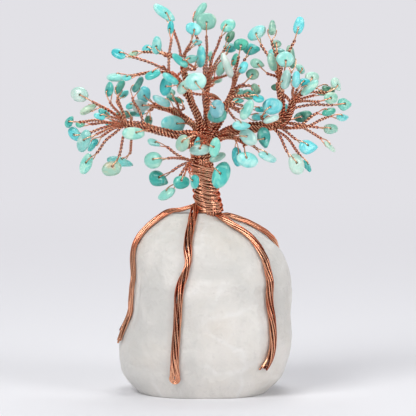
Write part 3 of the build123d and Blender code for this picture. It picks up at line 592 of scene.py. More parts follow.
def stoneFrame(name, number):
    # A stone's middle and directions, its half sizes, and the way from it to its twig.
    u, v, longPx, shortPx, slant, forward, turn, tone = stones[name][number]
    spread = branches[name]["spread"]
    knotU, _, knotDepth = branches[name]["way"][-1]
    middle = spot(u, v, knotDepth + forward * spread * pixel / crown["depth"])
    face, lean, turn = np.radians(abs(turn)), np.radians(slant), np.radians(turn)
    halfLength = longPx * pixel / 2
    halfWidth = shortPx * pixel / 2 / (np.cos(face) + 0.5 * np.sin(face))
    fan = np.radians(25 * (u - knotU) / spread)
    longWay = np.array([np.cos(fan), np.sin(fan), 0]) * np.cos(lean) + vertical * np.sin(lean)
    toward = np.array([np.sin(fan), -np.cos(fan), 0])
    normal = toward * np.cos(turn) + unit(np.cross(toward, longWay)) * np.sin(turn)
    wideWay = np.cross(normal, longWay)
    forkAt, leaveAt = forkSpot(name, middle)
    fork, leave = pointAt(ways[name], forkAt), pointAt(ways[name], leaveAt)
    if (name, number) == loneStone:
        fork = leave = loneFork
    pull = fork - middle
    inward = unit(pull - normal * (pull @ normal))
    local = np.array([inward @ longWay, inward @ wideWay])
    return {"middle": middle, "longWay": longWay, "wideWay": wideWay, "normal": normal, "inward": inward,
            "local": local, "rim": 1 / np.hypot(local[0] / halfLength, local[1] / halfWidth),
            "halves": (halfLength, halfWidth, halfWidth * 0.5), "leave": leave, "leaveAt": leaveAt,
            "approach": unit(inward + unit(leave - middle)), "tone": tone,
            "outline": outlines[number % 4], "branch": name, "number": number}


frames = {name: [stoneFrame(name, number) for number in range(len(rows))]
          for name, rows in stones.items()}
print("places ready:", sum(len(rows) for rows in stones.values()), "stones")


chipShape = {
    "hole": 0.5,          # drilled radius
    "holeShare": 0.25,    # how far the hole is from the middle towards the rim
    "around": 36,         # points round the hole
    "grow": 1.22,         # makes up for what the rounded corners take off
    "cornerPower": 8.0,   # higher keeps the outline's corners
    "crownPower": 3.0,    # higher keeps the faces flat
    "edgePower": 2.1,     # higher makes the belt blunter
    "thicker": 1.2, "lumps": 0.16, "wedge": 0.2, "uneven": 0.08,
    "backSeed": 31,       # added to a chip's seed for its back face
    # Rows of a face: shares of the way from the hole's lip to the belt.
    "rows": (0.0, 0.14, 0.3, 0.46, 0.61, 0.74, 0.84, 0.92, 0.97, 0.993),
    # Rows of the lip: shares of its width, and how far each lies below the face.
    "lipWidth": 0.22, "lipRows": ((0.0, 0.16), (0.3, 0.04)),
}
# Stones that would touch a neighbour when their branch bends stay a little smaller.
snugGrow = {("upperRight", 0): 1.12, ("upperRight", 9): 1.06, ("upperMiddle", 1): 1.14,
            ("upperMiddle", 4): 1.06}

# Body colour and streak colour of each tone.
tones = {
    "brightAqua": ((116, 226, 230), (164, 240, 238)), "lightAqua": ((134, 226, 222), (184, 240, 232)),
    "paleAqua": ((158, 228, 220), (202, 240, 230)), "aqua": ((98, 212, 212), (156, 232, 222)),
    "aquaMint": ((130, 218, 204), (184, 236, 218)), "aquaTeal": ((72, 192, 186), (134, 220, 206)),
    "blueAqua": ((98, 204, 212), (158, 230, 230)), "turquoise": ((62, 198, 200), (122, 222, 214)),
    "teal": ((58, 174, 164), (118, 208, 190)), "darkTeal": ((52, 150, 142), (106, 190, 172)),
    "emerald": ((38, 158, 138), (96, 200, 172)), "darkEmerald": ((34, 124, 106), (84, 166, 142)),
    "seaGreen": ((78, 182, 162), (140, 214, 190)), "darkGreen": ((54, 124, 100), (108, 166, 136)),
    "sage": ((120, 182, 162), (176, 214, 190)), "darkSage": ((92, 150, 130), (146, 188, 162)),
    "sageTeal": ((90, 174, 162), (150, 210, 190)), "sageMint": ((146, 208, 188), (194, 228, 204)),
    "sageTan": ((164, 208, 190), (206, 200, 168)), "mint": ((144, 216, 200), (192, 234, 214)),
    "paleMint": ((180, 226, 210), (212, 236, 222)), "whiteMint": ((204, 232, 222), (228, 240, 232)),
    "paleGreen": ((178, 218, 192), (210, 230, 206)), "greyMint": ((168, 214, 206), (202, 228, 218)),
    "greyAqua": ((136, 204, 200), (184, 222, 214)), "greyBlue": ((116, 186, 192), (170, 212, 210)),
    "greySage": ((144, 190, 176), (186, 212, 196)),
}


def reachShare(stone, place):
    # How far out a place lies, 1 at the outline: each side's share is n . p / d, with n its outward
    # direction and d its distance from the middle, and a power sum joins the shares.
    grow = snugGrow.get((stone["branch"], stone["number"]), chipShape["grow"])
    corners = stone["outline"] * np.array(stone["halves"][:2]) * grow
    along = np.roll(corners, -1, 0) - corners
    outward = unit(np.stack([along[:, 1], -along[:, 0]], 1))
    share = np.maximum(place @ outward.T / (outward * corners).sum(1), 0)
    return (share ** chipShape["cornerPower"]).sum(-1) ** (1 / chipShape["cornerPower"])


def faceHeight(stone, place, seed):
    # A pillow, thickness times (1 - share^a)^(1/b), thicker to one side and with soft lumps.
    share = clamp(reachShare(stone, place))
    full = (1 - share ** chipShape["crownPower"]) ** (1 / chipShape["edgePower"])
    halfLength, halfWidth, halfThick = stone["halves"]
    spots = np.concatenate([place / (1.3 * halfWidth), np.full((*place.shape[:-1], 1), seed * 3.7)], -1)
    uneven = 1 + chipShape["lumps"] * softNoise(spots, 1.0, 40) \
        + chipShape["wedge"] * np.sin(seed * 2.3) * place[..., 0] / halfLength
    return halfThick * chipShape["thicker"] * full * uneven


def edgeDistance(stone, start, directions):
    # Distance from a place inside to the outline, found by halving: 24 rounds on all at once.
    low, high = np.zeros(len(directions)), np.full(len(directions), 3.0 * stone["halves"][0])
    for _ in range(24):
        middle = (low + high) / 2
        inside = reachShare(stone, start + directions * middle[:, None]) < 1
        low, high = np.where(inside, middle, low), np.where(inside, high, middle)
    return low


def addChip(surface, stone, seed):
    # Rows run from the hole's wall over the top to the belt and back under it; columns go round.
    around = chipShape["around"]
    directions = circled(np.arange(around) * fullTurn / around, np.array([1, 0]), np.array([0, 1]))
    centre = stone["local"] * stone["rim"] * chipShape["holeShare"]
    reach = edgeDistance(stone, centre, directions)
    hole = np.full(around, min(chipShape["hole"], 0.6 * reach.min()))
    lip = min(chipShape["lipWidth"], 0.3 * (reach.min() - hole[0]))
    steps = [(hole + lip * step, drop) for step, drop in chipShape["lipRows"]]
    steps += [(hole + lip + (reach - hole - lip) * share, 0.0) for share in chipShape["rows"]]
    halfWidth = stone["halves"][1]

    def row(radius, sign=0, drop=0.0, side=0):
        place = centre + directions * radius[:, None]
        height = sign * (faceHeight(stone, place, side) - drop) if sign else radius * 0
        return np.concatenate([place, height[:, None]], 1)

    top = [row(radius, 1, drop, seed) for radius, drop in steps]
    under = [row(radius, -1, drop, seed + chipShape["backSeed"]) for radius, drop in steps]
    grid = np.array(top + [row(reach)] + under[::-1] + [row(hole)])
    bulge = chipShape["uneven"] * halfWidth * np.stack(
        [softNoise(grid + seed * 5.1, 1.6 * halfWidth, seed + k) for k in (0, 7)], -1)
    outer = clamp(np.linalg.norm(grid[..., :2] - centre, axis=-1) / reach.min() - 0.5)
    grid[..., :2] += bulge * outer[..., None]
    points = stone["middle"] + grid @ np.array([stone["longWay"], stone["wideWay"], stone["normal"]])
    quads = gridQuads(len(grid), around, ring=True)[:, [0, 3, 2, 1]]
    tone = np.concatenate([linear(*colour) for colour in tones[stone["tone"]]])
    rng = np.random.default_rng(900 + seed)
    shade = rng.uniform(0.94, 1.06, 2).repeat(3) * np.tile(rng.uniform(0.97, 1.03, 3), 2)
    surface.add(points.reshape(-1, 3), quads, None, clamp(tone * shade))


seed = 0
for name, rows in frames.items():
    surface = Surface()
    for stone in rows:
        addChip(surface, stone, seed)
        stone["seed"] = seed
        seed += 1
    surface.piece(name + "Stones", amazonite, "stone", [nodeName(name) + "_stones"], limbOf(name))
print("stones ready:", seed)


quartzShape = {
    "width": 64.6, "depth": 58.0, "height": 68.0,
    "lump": 0.9, "lumpSize": 12.0, "ripple": 0.3, "rippleSize": 4.4, "chip": 0.5, "chipSize": 7.5,
    # Ridges and furrows that run upward: turn, lowest and highest height, width in degrees, push.
    "folds": [(303, 6, 34, 5, 1.1), (212, 24, 46, 4, -0.9), (262, 10, 40, 9, 0.5), (280, 2, 22, 6, -0.5),
              (340, 12, 50, 8, 0.6), (120, 10, 45, 8, 0.7), (60, 8, 52, 7, -0.7), (165, 6, 40, 6, 0.7)],
    "columns": 280, "sideRows": 180, "capRows": 34,
}
# Level slices: height share, and the reach every 30 degrees from +X as shares.
quartzSlices = [
    (0.0, [0.70, 0.78, 0.82, 0.76, 0.80, 0.80, 0.76, 0.84, 0.90, 0.86, 0.88, 0.78]),
    (0.07, [0.86, 0.92, 0.95, 0.90, 0.93, 0.93, 0.91, 0.98, 1.00, 0.96, 0.99, 0.93]),
    (0.2, [0.99, 1.06, 1.05, 0.97, 1.02, 1.04, 1.00, 1.06, 1.08, 1.02, 1.07, 1.05]),
    (0.43, [1.00, 1.08, 1.06, 0.98, 1.03, 1.00, 0.86, 0.95, 1.04, 1.01, 1.08, 1.08]),
    (0.64, [0.99, 1.05, 1.02, 0.93, 0.97, 0.92, 0.81, 0.90, 0.98, 0.96, 1.02, 1.06]),
    (0.78, [0.88, 0.94, 0.93, 0.86, 0.90, 0.88, 0.82, 0.86, 0.87, 0.85, 0.90, 0.92]),
    (0.86, [0.69, 0.77, 0.82, 0.79, 0.83, 0.82, 0.78, 0.77, 0.75, 0.74, 0.75, 0.73]),
    (0.91, [0.53, 0.61, 0.69, 0.69, 0.75, 0.73, 0.69, 0.66, 0.62, 0.61, 0.59, 0.55]),
    (1.0, [0.10, 0.14, 0.26, 0.42, 0.50, 0.50, 0.46, 0.40, 0.28, 0.18, 0.12, 0.10]),
]


def quartzSurface(shape):
    # Reach by turn and height through the slices, then lumps pushed along the outward direction.
    columns, caps, tall = shape["columns"], shape["capRows"], shape["height"]
    turn = np.arange(columns) * fullTurn / columns
    levels = np.array([level for level, reaches in quartzSlices])
    reaches = np.array([reaches for level, reaches in quartzSlices])
    around = np.concatenate([reaches[:, -2:], reaches, reaches[:, :3]], 1)
    byTurn = throughPoints(np.radians(30) * np.arange(-2, 15), around.T, turn).T
    up = 1 - (1 - np.linspace(0, 1, shape["sideRows"])) ** 1.35
    side = throughPoints(levels, byTurn, up)
    capShares = np.linspace(1, 0, caps + 1)[1:, None]
    reach = np.concatenate([side[0] * capShares[::-1], side, side[-1] * capShares])
    height = np.concatenate([np.zeros(caps), up * tall, np.full(caps, tall)])[:, None]
    points = np.stack(np.broadcast_arrays(reach * np.cos(turn) * shape["width"] / 2,
                                          reach * np.sin(turn) * shape["depth"] / 2, height), -1)
    outward = unit(np.stack(np.broadcast_arrays(np.cos(turn), np.sin(turn), (height / tall) ** 3), -1))
    calm = clamp(height / 6) * clamp(1.02 - 0.7 * (height / tall) ** 6)
    ridges = 1 - 2 * np.abs(softNoise(points, shape["lumpSize"], 11))
    push = shape["lump"] * (0.6 * softNoise(points, shape["lumpSize"] * 1.6, 5) + 0.4 * ridges - 0.3) \
        + shape["ripple"] * softNoise(points, shape["rippleSize"], 8) \
        + shape["chip"] * np.abs(softNoise(points, shape["chipSize"], 27)) ** 0.5
    for centre, low, high, width, fold in shape["folds"]:
        away = (np.degrees(turn) - centre + 180) % 360 - 180 + 3 * softNoise(points, 9.0, int(centre))
        rise = clamp(np.minimum(height - low, high - height) / 8)
        push = push + fold * rise * np.exp(-np.abs(away / width) ** 1.4)
    points = points + outward * (push * calm)[..., None]
    # The first and the last row have shrunk to one point each, and become the fans' middles.
    rows = len(points) - 2
    size = rows * columns
    points = np.concatenate([points[1:-1].reshape(-1, 3), points[0, :1], points[-1, -1:]])
    return points, gridQuads(rows, columns), endFans(columns, 0, size - columns, size)


quartzPoints, quartzQuads, quartzTris = quartzSurface(quartzShape)
lump = Surface()
lump.add(quartzPoints, quartzQuads, quartzTris)
lump.piece("quartzLump", frostedQuartz, "quartz", ["rock_base"], "root")
quartzTree = BVHTree.FromPolygons([Vector(p) for p in quartzPoints], [tuple(q) for q in quartzQuads])
print("quartz ready")


rootShape = {
    "wires": 9, "wireRadius": 0.34, "foldRadius": 0.29, "halfWidth": 1.3, "halfHeight": 0.72,
    "lay": 58.0, "step": 0.55, "sides": 8, "wander": 0.12, "spreadRun": 9.0, "splitRun": 14.0,
    "kinkRun": 3.5, "splitShort": 3.0, "foldShort": 2.0,
}
# Each root's way over the quartz: compass turn and climb seen from its heart. Its wires spread, stop
# raggedly, split or fold back at its end, and it leaves the trunk's foot in its exit's direction.
roots = {
    "left": {"way": [(199, 76), (193, 57), (193, 45), (194, 36), (196, 25), (198, 13), (198, 0),
                     (195, -13), (192, -26)],
             "spread": 1.2, "ragged": 2.0, "split": 3.6, "kink": 0.0, "exit": 176, "folds": 0},
    "front": {"way": [(243, 74), (251, 61), (254, 47), (256, 33), (252, 19), (251, 6), (251, -10),
                      (250, -26), (249, -38), (249, -42)],
              "spread": 1.5, "ragged": 0.8, "split": 0.0, "kink": 0.46, "exit": 200, "folds": 4},
    "rightFront": {"way": [(309, 75), (316, 62), (319, 48), (319, 34), (318, 20), (317, 5), (317, -12),
                           (316, -28), (309, -37)],
                   "spread": 1.35, "ragged": 3.0, "split": 0.6, "kink": 0.0, "exit": 322, "folds": 0},
    "rightBack": {"way": [(6, 76), (12, 65), (15, 53), (20, 42), (28, 31), (35, 17), (40, 2), (42, -14)],
                  "spread": 1.3, "ragged": 2.0, "split": 0.0, "kink": 0.0, "exit": 352, "folds": 0},
}
heart = vertical * 34


def overQuartz(turn, climb):
    # Where lines from the quartz's heart come out of it, and which way its surface faces there.
    level = circled(turn, np.array([1, 0, 0]), np.array([0, 1, 0]))
    out = np.cos(climb)[:, None] * level + np.sin(climb)[:, None] * vertical
    hits = [quartzTree.ray_cast(Vector(heart + way * 80), Vector(-way)) for way in out]
    return np.array([hit[0] for hit in hits]), unit(np.array([hit[1] for hit in hits]))


def smoothAlong(values, window):
    # Mean of the neighbours on both sides, with the ends repeated.
    padded = np.pad(values, ((window, window), (0, 0)), mode="edge")
    kernel = np.hanning(2 * window + 3)[1:-1]
    kernel /= kernel.sum()
    return np.stack([np.convolve(padded[:, k], kernel, "valid") for k in range(values.shape[1])], 1)


def rootRoute(way, exit):
    # Down inside the trunk's winding, then over the quartz at a fixed height above its surface.
    fine = np.linspace(0, len(way) - 1, 90)
    turns, climbs = throughPoints(np.arange(len(way)), np.radians(np.array(way, float)), fine).T
    place, facing = overQuartz(turns, climbs)
    facing = unit(smoothAlong(facing, 6))
    seat = rootShape["halfHeight"] + rootShape["wireRadius"] + 0.1
    over = smoothAlong(place + facing * seat, 3)
    out = np.array([np.cos(np.radians(exit)), np.sin(np.radians(exit)), 0])
    low = 0.9 - 1.9 * out[0]
    start = [foot + trunkAxis * climb + out * away
             for climb, away in ((8, 2.2), (low + 2.0, 2.8), (low, 4.9))]
    path = evenly(roundCorners(np.concatenate([start, over[1:]]), 2), rootShape["step"])
    share = np.linspace(0, 1, len(path))
    up = throughPoints(np.array([0, 0.12, 1]), np.array([out, facing[4], facing[4]]), share)
    near = np.argmin(((path[:, None] - over[None]) ** 2).sum(-1), 1)
    up = np.where((share > 0.1)[:, None], facing[near], up)
    return path, unit(smoothAlong(up, 5))


def addRoot(surface, root, seed):
    # Wires on an oval round the rope's middle, turning slowly along it and parting at the end.
    path, up = rootRoute(root["way"], root["exit"])
    heading = unit(np.gradient(path, axis=0))
    side = unit(np.cross(heading, up))
    up = np.cross(side, heading)
    s = distances(path)
    left = s[-1] - s
    rng = np.random.default_rng(seed)
    outerWires = rootShape["wires"] - 1
    for n in range(rootShape["wires"]):
        core, strays = n == outerWires, n % 3 == 0
        size = 0.15 if core else 1
        angle = fullTurn * (n / outerWires + s / rootShape["lay"]) + rng.uniform(-0.12, 0.12)
        angle = angle + 0.25 * softNoise(onLine(s, n * 9, seed), 16.0, seed + n)
        part = 1 + (root["spread"] - 1) * clamp(1 - left / rootShape["spreadRun"]) ** 1.5
        if root["kink"]:
            part = part * (1 - 0.4 * np.exp(-((s - root["kink"] * s[-1]) / rootShape["kinkRun"]) ** 2))
        flatten = 0.5 + 0.5 * clamp((s - 9) / 8)
        wide = size * rootShape["halfWidth"] * part * np.cos(angle)
        apart = root["split"] * clamp(1 - left / rootShape["splitRun"]) ** 1.3
        wide = wide + apart * (1 if strays else -0.45)
        high = size * rootShape["halfHeight"] * np.sin(angle) / part * flatten
        wander = rootShape["wander"] * softNoise(onLine(s, n * 5), 7.0, seed + 50 + n)
        short = rng.uniform(0, root["ragged"])
        short += rootShape["splitShort"] * (root["split"] > 1 and strays)
        short += rootShape["foldShort"] * (root["folds"] > 0)
        stop = max(int(len(path) - short / rootShape["step"]), 10)
        wire = path + side * (wide + wander)[:, None] + up * high[:, None]
        # Each outer wire gets painted shade on the side that faces into the rope; the core wire gets none.
        outward = None if core else unit(side * wide[:, None] + up * high[:, None])[:stop]
        surface.tube(wire[:stop], rootShape["wireRadius"], rootShape["sides"], None, outward)
    # Folded wires: two legs beside the rope's middle, joined by half a circle past its end.
    last = slice(-18, -3)
    legs, beside, over = path[last], side[last], up[last] * 0.5
    # Painted shade on the folded wires: light where they face up from the rope, dark on their sides and
    # underneath.
    facing = np.concatenate([up[last], np.repeat(up[-4:-3], 7, 0), up[last][::-1]])
    bend = np.linspace(0, np.pi, 9)[1:-1]
    for reach in np.linspace(1.95, 0.45, root["folds"]):
        width = (0.7 + (reach - 0.7) * np.linspace(0, 1, len(legs)) ** 1.5)[:, None]
        arc = legs[-1] + over[-1] + reach * circled(bend, beside[-1], heading[-4])
        fold = np.concatenate([legs + beside * width + over, arc, (legs - beside * width + over)[::-1]])
        surface.tube(fold, rootShape["foldRadius"], rootShape["sides"], None, facing)


for seed, (name, root) in enumerate(roots.items()):
    rope = Surface()
    addRoot(rope, root, 300 + seed * 20)
    rope.piece(name + "Root", rootCopper, "copper", [nodeName(name) + "_root"], "root")
print("roots ready")


trunkShape = {
    "profile": [(-4.0, 4.6), (0.0, 4.7), (4.0, 3.95), (8.5, 3.7), (13.0, 3.05), (17.0, 3.5), (20.2, 3.9)],
    "wires": 26, "wireRadius": 0.4, "sides": 8,
}
windingShape = {
    "start": 1.8, "turns": 12.4, "pitch": 1.36, "slope": np.radians(30), "lowSlope": np.radians(31),
    "wireRadius": 0.37, "uneven": 0.2, "lift": 0.0, "gap": 0.12, "lowTurns": 5, "leanReach": 4.2,
    "sides": 8, "stepsPerTurn": 40,
}
# A few turns laid across the others.
crossingShape = windingShape | {
    "start": 4.0, "turns": 5.3, "pitch": 2.3, "slope": np.radians(27), "lowSlope": np.radians(34),
    "wireRadius": 0.36, "uneven": 0.3, "lift": 0.5,
}
# The last level turns, close over the stone.
footShape = windingShape | {
    "start": 0.4, "turns": 3.2, "pitch": 0.8, "slope": np.radians(3), "lowSlope": np.radians(8),
    "wireRadius": 0.36, "uneven": 0.15, "lift": -0.22,
}
acrossTrunk = unit(np.cross(np.array([0, 1.0, 0]), trunkAxis))
awayTrunk = np.cross(trunkAxis, acrossTrunk)
profileHeights, profileRadii = np.array(trunkShape["profile"]).T


def trunkRadius(height):
    inside = np.clip(height, profileHeights[0], profileHeights[-1])
    return throughPoints(profileHeights, profileRadii[:, None], inside)[:, 0]


def trunkPlace(outward, reach, height):
    return foot + reach[:, None] * outward + height[:, None] * trunkAxis


trunk = Surface()
levels = np.linspace(-4, 20.4, 34)
for n in range(trunkShape["wires"]):
    outward = circled(fullTurn * n / trunkShape["wires"] + 0.03 * levels, acrossTrunk, awayTrunk)
    sway = 0.12 * softNoise(onLine(levels, n * 7), 5.0, 60)
    # The outward direction gives each wire painted shade on the sides that face its neighbours.
    trunk.tube(trunkPlace(outward, trunkRadius(levels) - 0.3 + sway, levels), trunkShape["wireRadius"],
               trunkShape["sides"], None, outward)
trunk.tube(trunkPlace(outward, levels * 0, levels), trunkRadius(levels) - 0.5, 20)
trunk.piece("trunkWires", windingCopper, "copper", ["trunk_core"], "root")


def addWinding(surface, shape, seed, ahead):
    # Angle grows evenly and height with it, less the lean of each turn; small waves make it hand-laid.
    angle = np.linspace(0, fullTurn * shape["turns"], int(shape["turns"] * shape["stepsPerTurn"]))
    turns = angle / fullTurn
    line, start = onLine(turns), clamp(1 - turns / shape["lowTurns"])
    level = shape["start"] + shape["pitch"] * (turns + ahead + 0.2 * softNoise(line, 1.7, seed))
    slope = shape["slope"] + (shape["lowSlope"] - shape["slope"]) * start
    low = np.radians(10 + 42 * start)  # the turns are lowest at the front right
    steepness = np.tan(slope * (1 + 0.25 * softNoise(line, 2.6, seed + 1)))
    height = level - steepness * shape["leanReach"] * np.cos(angle + low)
    reach = trunkRadius(height) + shape["gap"] + shape["wireRadius"] + shape["lift"] \
        + shape["uneven"] * (1 + softNoise(line, 0.6, seed + 2)) / 2
    outward = circled(angle, acrossTrunk, awayTrunk)
    # The outward direction gives each turn painted shade where it faces the trunk and the turns beside it.
    surface.tube(trunkPlace(outward, reach, height), shape["wireRadius"], shape["sides"], trunkAxis,
                 outward)


winding = Surface()
addWinding(winding, windingShape, 71, 0.0)
addWinding(winding, windingShape, 76, 0.5)
addWinding(winding, crossingShape, 81, 0.0)
addWinding(winding, footShape, 86, 0.0)
winding.piece("trunkWinding", windingCopper, "copper", ["trunk_wrap"], "root")
print("trunk ready")


cutShape = {"wires": 5, "wireRadius": 0.3, "ring": 0.5, "turns": 3.6, "pitch": 0.95, "windRadius": 0.4,
            "start": 3.9}
cutFrom, cutTo = spot(204, 144, 0.05), spot(184.5, 145.5, 0.07)
cutAxis = unit(cutTo - cutFrom)
cutAcross = unit(np.cross(cutAxis, vertical))
cutUp = np.cross(cutAcross, cutAxis)
stub, band = Surface(), Surface()
for n in range(cutShape["wires"]):
    length = np.linspace(0, np.linalg.norm(cutTo - cutFrom) - 0.3 * (n % 3), 20)
    outward = circled(fullTurn * n / cutShape["wires"] + 0.09 * length, cutAcross, cutUp)
    # The outward direction gives each wire painted shade on its side that faces into the stub.
    stub.tube(cutFrom + length[:, None] * cutAxis + cutShape["ring"] * outward, cutShape["wireRadius"],
              8, None, outward)
stub.piece("cutBranch", windingCopper, "copper", ["cut_branch"], "root")
angle = np.linspace(0, fullTurn * cutShape["turns"], 150)
length = cutShape["start"] + cutShape["pitch"] * angle / fullTurn
reach = cutShape["ring"] + cutShape["wireRadius"] + cutShape["windRadius"] + 0.03 * np.sin(angle * 0.7)
outward = circled(angle, cutAcross, cutUp)
band.tube(cutFrom + length[:, None] * cutAxis + reach[:, None] * outward, cutShape["windRadius"], 10,
          cutAxis, outward)
band.piece("cutBranchWinding", windingCopper, "copper", ["cut_branch_wrap"], "root")


wireShape = {
    "strandRadius": 0.28, "strandOffset": 0.345, "pitch": 2.5, "ringsPerTurn": 10, "sides": 6,
    "pairHalf": 0.53, "bundleLay": 46.0, "wobble": 0.22, "legRun": 2.3, "legOpen": 0.75,
    "legRadius": 0.22, "loose": 1.5, "stray": 0.3, "shadeInBundle": 0.75, "bow": 0.07,
}
# Twigs that rise or sag at their middle by another share of their length than the rest.
twigBows = {("rightLow", 0): -0.2, ("rightLow", 1): -0.17, ("rightLow", 4): 0.16, ("rightTop", 5): 0.2,
            ("lowerLeft", 5): -0.1, ("left", 17): -0.05, ("topCentre", 0): 0.02}


def addPair(surface, path, phase, pitch, cut=None, second=None, lean=np.zeros((1, 3))):
    # Two strands half a turn apart round the path; the phase is the angle at the path's end.
    # Each strand's outer share follows its direction from the path, so the copper paints shade where it
    # faces its partner.
    # The lean points out of the bundle, and what lies deeper in it gets a lower outer share, so more
    # painted shade.
    heading, side, up = acrossPath(path)
    s = distances(path)
    out = circled(phase + fullTurn * (s - s[-1]) / pitch, side, up)
    # A cut shares the strands between two surfaces, at that point of the path.
    parts = [(surface, slice(None))]
    if cut is not None:
        parts = [(surface, slice(cut + 1)), (second, slice(cut, None))]
    for outward in (out, -out):
        strand = path + outward * wireShape["strandOffset"]
        shadeFacing = (outward + lean) / (1 + np.linalg.norm(lean, axis=-1, keepdims=True))
        for target, part in parts:
            target.tube(strand[part], wireShape["strandRadius"], wireShape["sides"], None, shadeFacing[part])


def bundleRoute(name):
    # The bundle's middle from inside the trunk's head, round the crown and along the branch.
    way = ways[name]
    if name in grownFrom:
        parent = ways[grownFrom[name]]
        return np.array([pointAt(parent, distances(parent)[-1] - 6.5), *way])
    out = unit((way[1] - way[0]) * np.array([1, 1, 0]))
    sector = circled(np.radians(branches[name]["stand"]), acrossTrunk, awayTrunk)

    def stand(climb, away):
        return head + trunkAxis * climb + sector * away

    if name == "lowerLeft":
        return np.array([stand(-5, 2.1), stand(-0.5, 2.6), way[0] + out * 3.4, *way[1:]])
    rise = [stand(-5, 2.1), stand(0.5, 2.4)]
    if name == "topLeft":
        beside, over = ways[bendsWith[name]][:2]
        return np.array(rise + [stand(6, 2.6), beside + np.array([-0.8, 1.3, 1.5]),
                                over + np.array([-0.3, 1.5, 0]), *way[1:]])
    away, start = (3.0, 0.8) if name in ("frontLow", "lowerRight", "rightLow") else (2.7, 1.6)
    return np.array(rise + [stand(5, away), way[0] + out * start, *way[1:]])


def twigTail(stone):
    # The twig's own run: a bowed middle, then straight to the neck beside the stone.
    neck = stone["middle"] + stone["inward"] * stone["rim"] + stone["approach"] * wireShape["legRun"]
    approach = neck + stone["approach"]
    span = approach - stone["leave"]
    bow = -np.cross(np.cross(vertical, span), span)
    rise = twigBows.get((stone["branch"], stone["number"]), wireShape["bow"])
    return [(stone["leave"] + approach) / 2 + unit(bow) * np.linalg.norm(span) * rise, approach, neck]


def wobbly(path, seed):
    # Hand-bent wire: a slow wave that dies out at both ends.
    s = distances(path)
    fade = clamp(np.minimum(s, s[-1] - s) / 4) ** 2
    wave = np.stack([softNoise(onLine(s, seed * 3.3), 5.0, seed + k) for k in (1, 2, 3)], 1)
    return path + wave * (wireShape["wobble"] * fade)[:, None]


def endPhase(path, normal):
    heading, side, up = acrossPath(path)
    return np.arctan2(normal @ up[-1], normal @ side[-1])


def addLoop(surface, stone):
    # From the neck over one face, down through the hole and back over the other face.
    rim, normal, inward = stone["rim"], stone["normal"], stone["inward"]
    radius, run, legOpen = wireShape["legRadius"], wireShape["legRun"], wireShape["legOpen"]
    holeShare = chipShape["holeShare"]
    halves = []
    for sign, side in ((1, stone["seed"]), (-1, stone["seed"] + chipShape["backSeed"])):
        shares = np.array([0.7, 0.45, holeShare])
        top, middle, low = faceHeight(stone, stone["local"] * rim * shares[:, None], side)
        # Distance from the stone's middle, and height over its middle plane.
        path = [(rim + run + 0.15, 0.2), (rim + run - 0.3, 0.24),
                (rim + run * 0.5, 0.6 * legOpen + 0.3 * top), (rim + 0.15, max(legOpen, top) + 0.1),
                (rim * 0.7, top + radius + 0.1), (rim * 0.45, middle + radius + 0.1),
                (rim * holeShare + 0.12, low + radius * 0.7), (rim * holeShare, low - 0.35),
                (rim * holeShare, 0.0)]
        halves.append(np.array([stone["middle"] + inward * min(d, rim) + normal * h * sign
                                + stone["approach"] * max(d - rim, 0) for d, h in path]))
    route = evenly(roundCorners(np.concatenate([halves[0], halves[1][-2::-1]]), 2), 0.3)
    surface.tube(route, radius, wireShape["sides"], np.cross(inward, normal))


step = wireShape["pitch"] / wireShape["ringsPerTurn"]
for number, (name, rows) in enumerate(frames.items()):
    bundle, twigs = Surface(), Surface()
    route = evenly(roundCorners(bundleRoute(name), 3), 1.4)
    heading, side, up = acrossPath(route)
    s = distances(route)
    entry = s[-1] - distances(roundCorners(ways[name], 3))[-1]
    count = min(branches[name]["pairs"], len(rows))
    farthest = sorted(range(len(rows)), key=lambda n: -rows[n]["leaveAt"])
    through = [n for n in farthest if (name, n) != loneStone][:count]
    ring = (branches[name]["radius"] - wireShape["pairHalf"]) * wireShape["loose"]
    for n, stone in enumerate(rows):
        pitch = wireShape["pitch"] * (1.08 + 0.14 * np.sin(n * 2.1 + number))
        if n in through:
            angle = fullTurn * (through.index(n) / count + s / wireShape["bundleLay"])
            shift = wireShape["stray"] * softNoise(onLine(s, n * 6, number), 6.0, 90)
            lane = route + (ring + shift)[:, None] * circled(angle, side, up)
            keep = max(int(np.searchsorted(s, entry + stone["leaveAt"])), 3)
            path = np.concatenate([lane[:keep], twigTail(stone)])
            path = wobbly(evenly(roundCorners(path, 3), step), 7 * n + number)
            cut = int(((path - lane[keep - 1]) ** 2).sum(1).argmin())
            # Painted shade inside the bundle: each pair's outer share leans towards the way out of the
            # bundle, fading out where the twig leaves it.
            near = route[((path[:, None] - route[None]) ** 2).sum(-1).argmin(1)]
            fade = clamp((cut - np.arange(len(path))) / wireShape["ringsPerTurn"]) * wireShape["shadeInBundle"]
            addPair(bundle, path, endPhase(path, stone["normal"]), pitch, cut, twigs,
                    unit(path - near) * fade[:, None])
        else:
            path = np.array([stone["leave"], *twigTail(stone)])
            path = wobbly(evenly(roundCorners(path, 4), step), 7 * n + number)
            addPair(twigs, path, endPhase(path, stone["normal"]), pitch)
        addLoop(twigs, stone)
    carrier = nodeName(grownFrom[name]) + "_limb" if name in grownFrom else "root"
    bend = None
    if limbOf(name) != "root":
        mover = bendsWith.get(name, name)
        first, second = ways[mover][:2]
        hinge, along = first + (second - first) * branches[mover]["bend"], unit(second - first)
        bend = (carrier, limbOf(name), hinge - along * 1.2, hinge + along * 1.4)
    bundle.piece(name + "Bundle", twigCopper, "copper", [nodeName(name) + "_branch"], "root", bend)
    twigs.piece(name + "Twigs", twigCopper, "copper", [nodeName(name) + "_twigs"], limbOf(name))
print("branches ready")


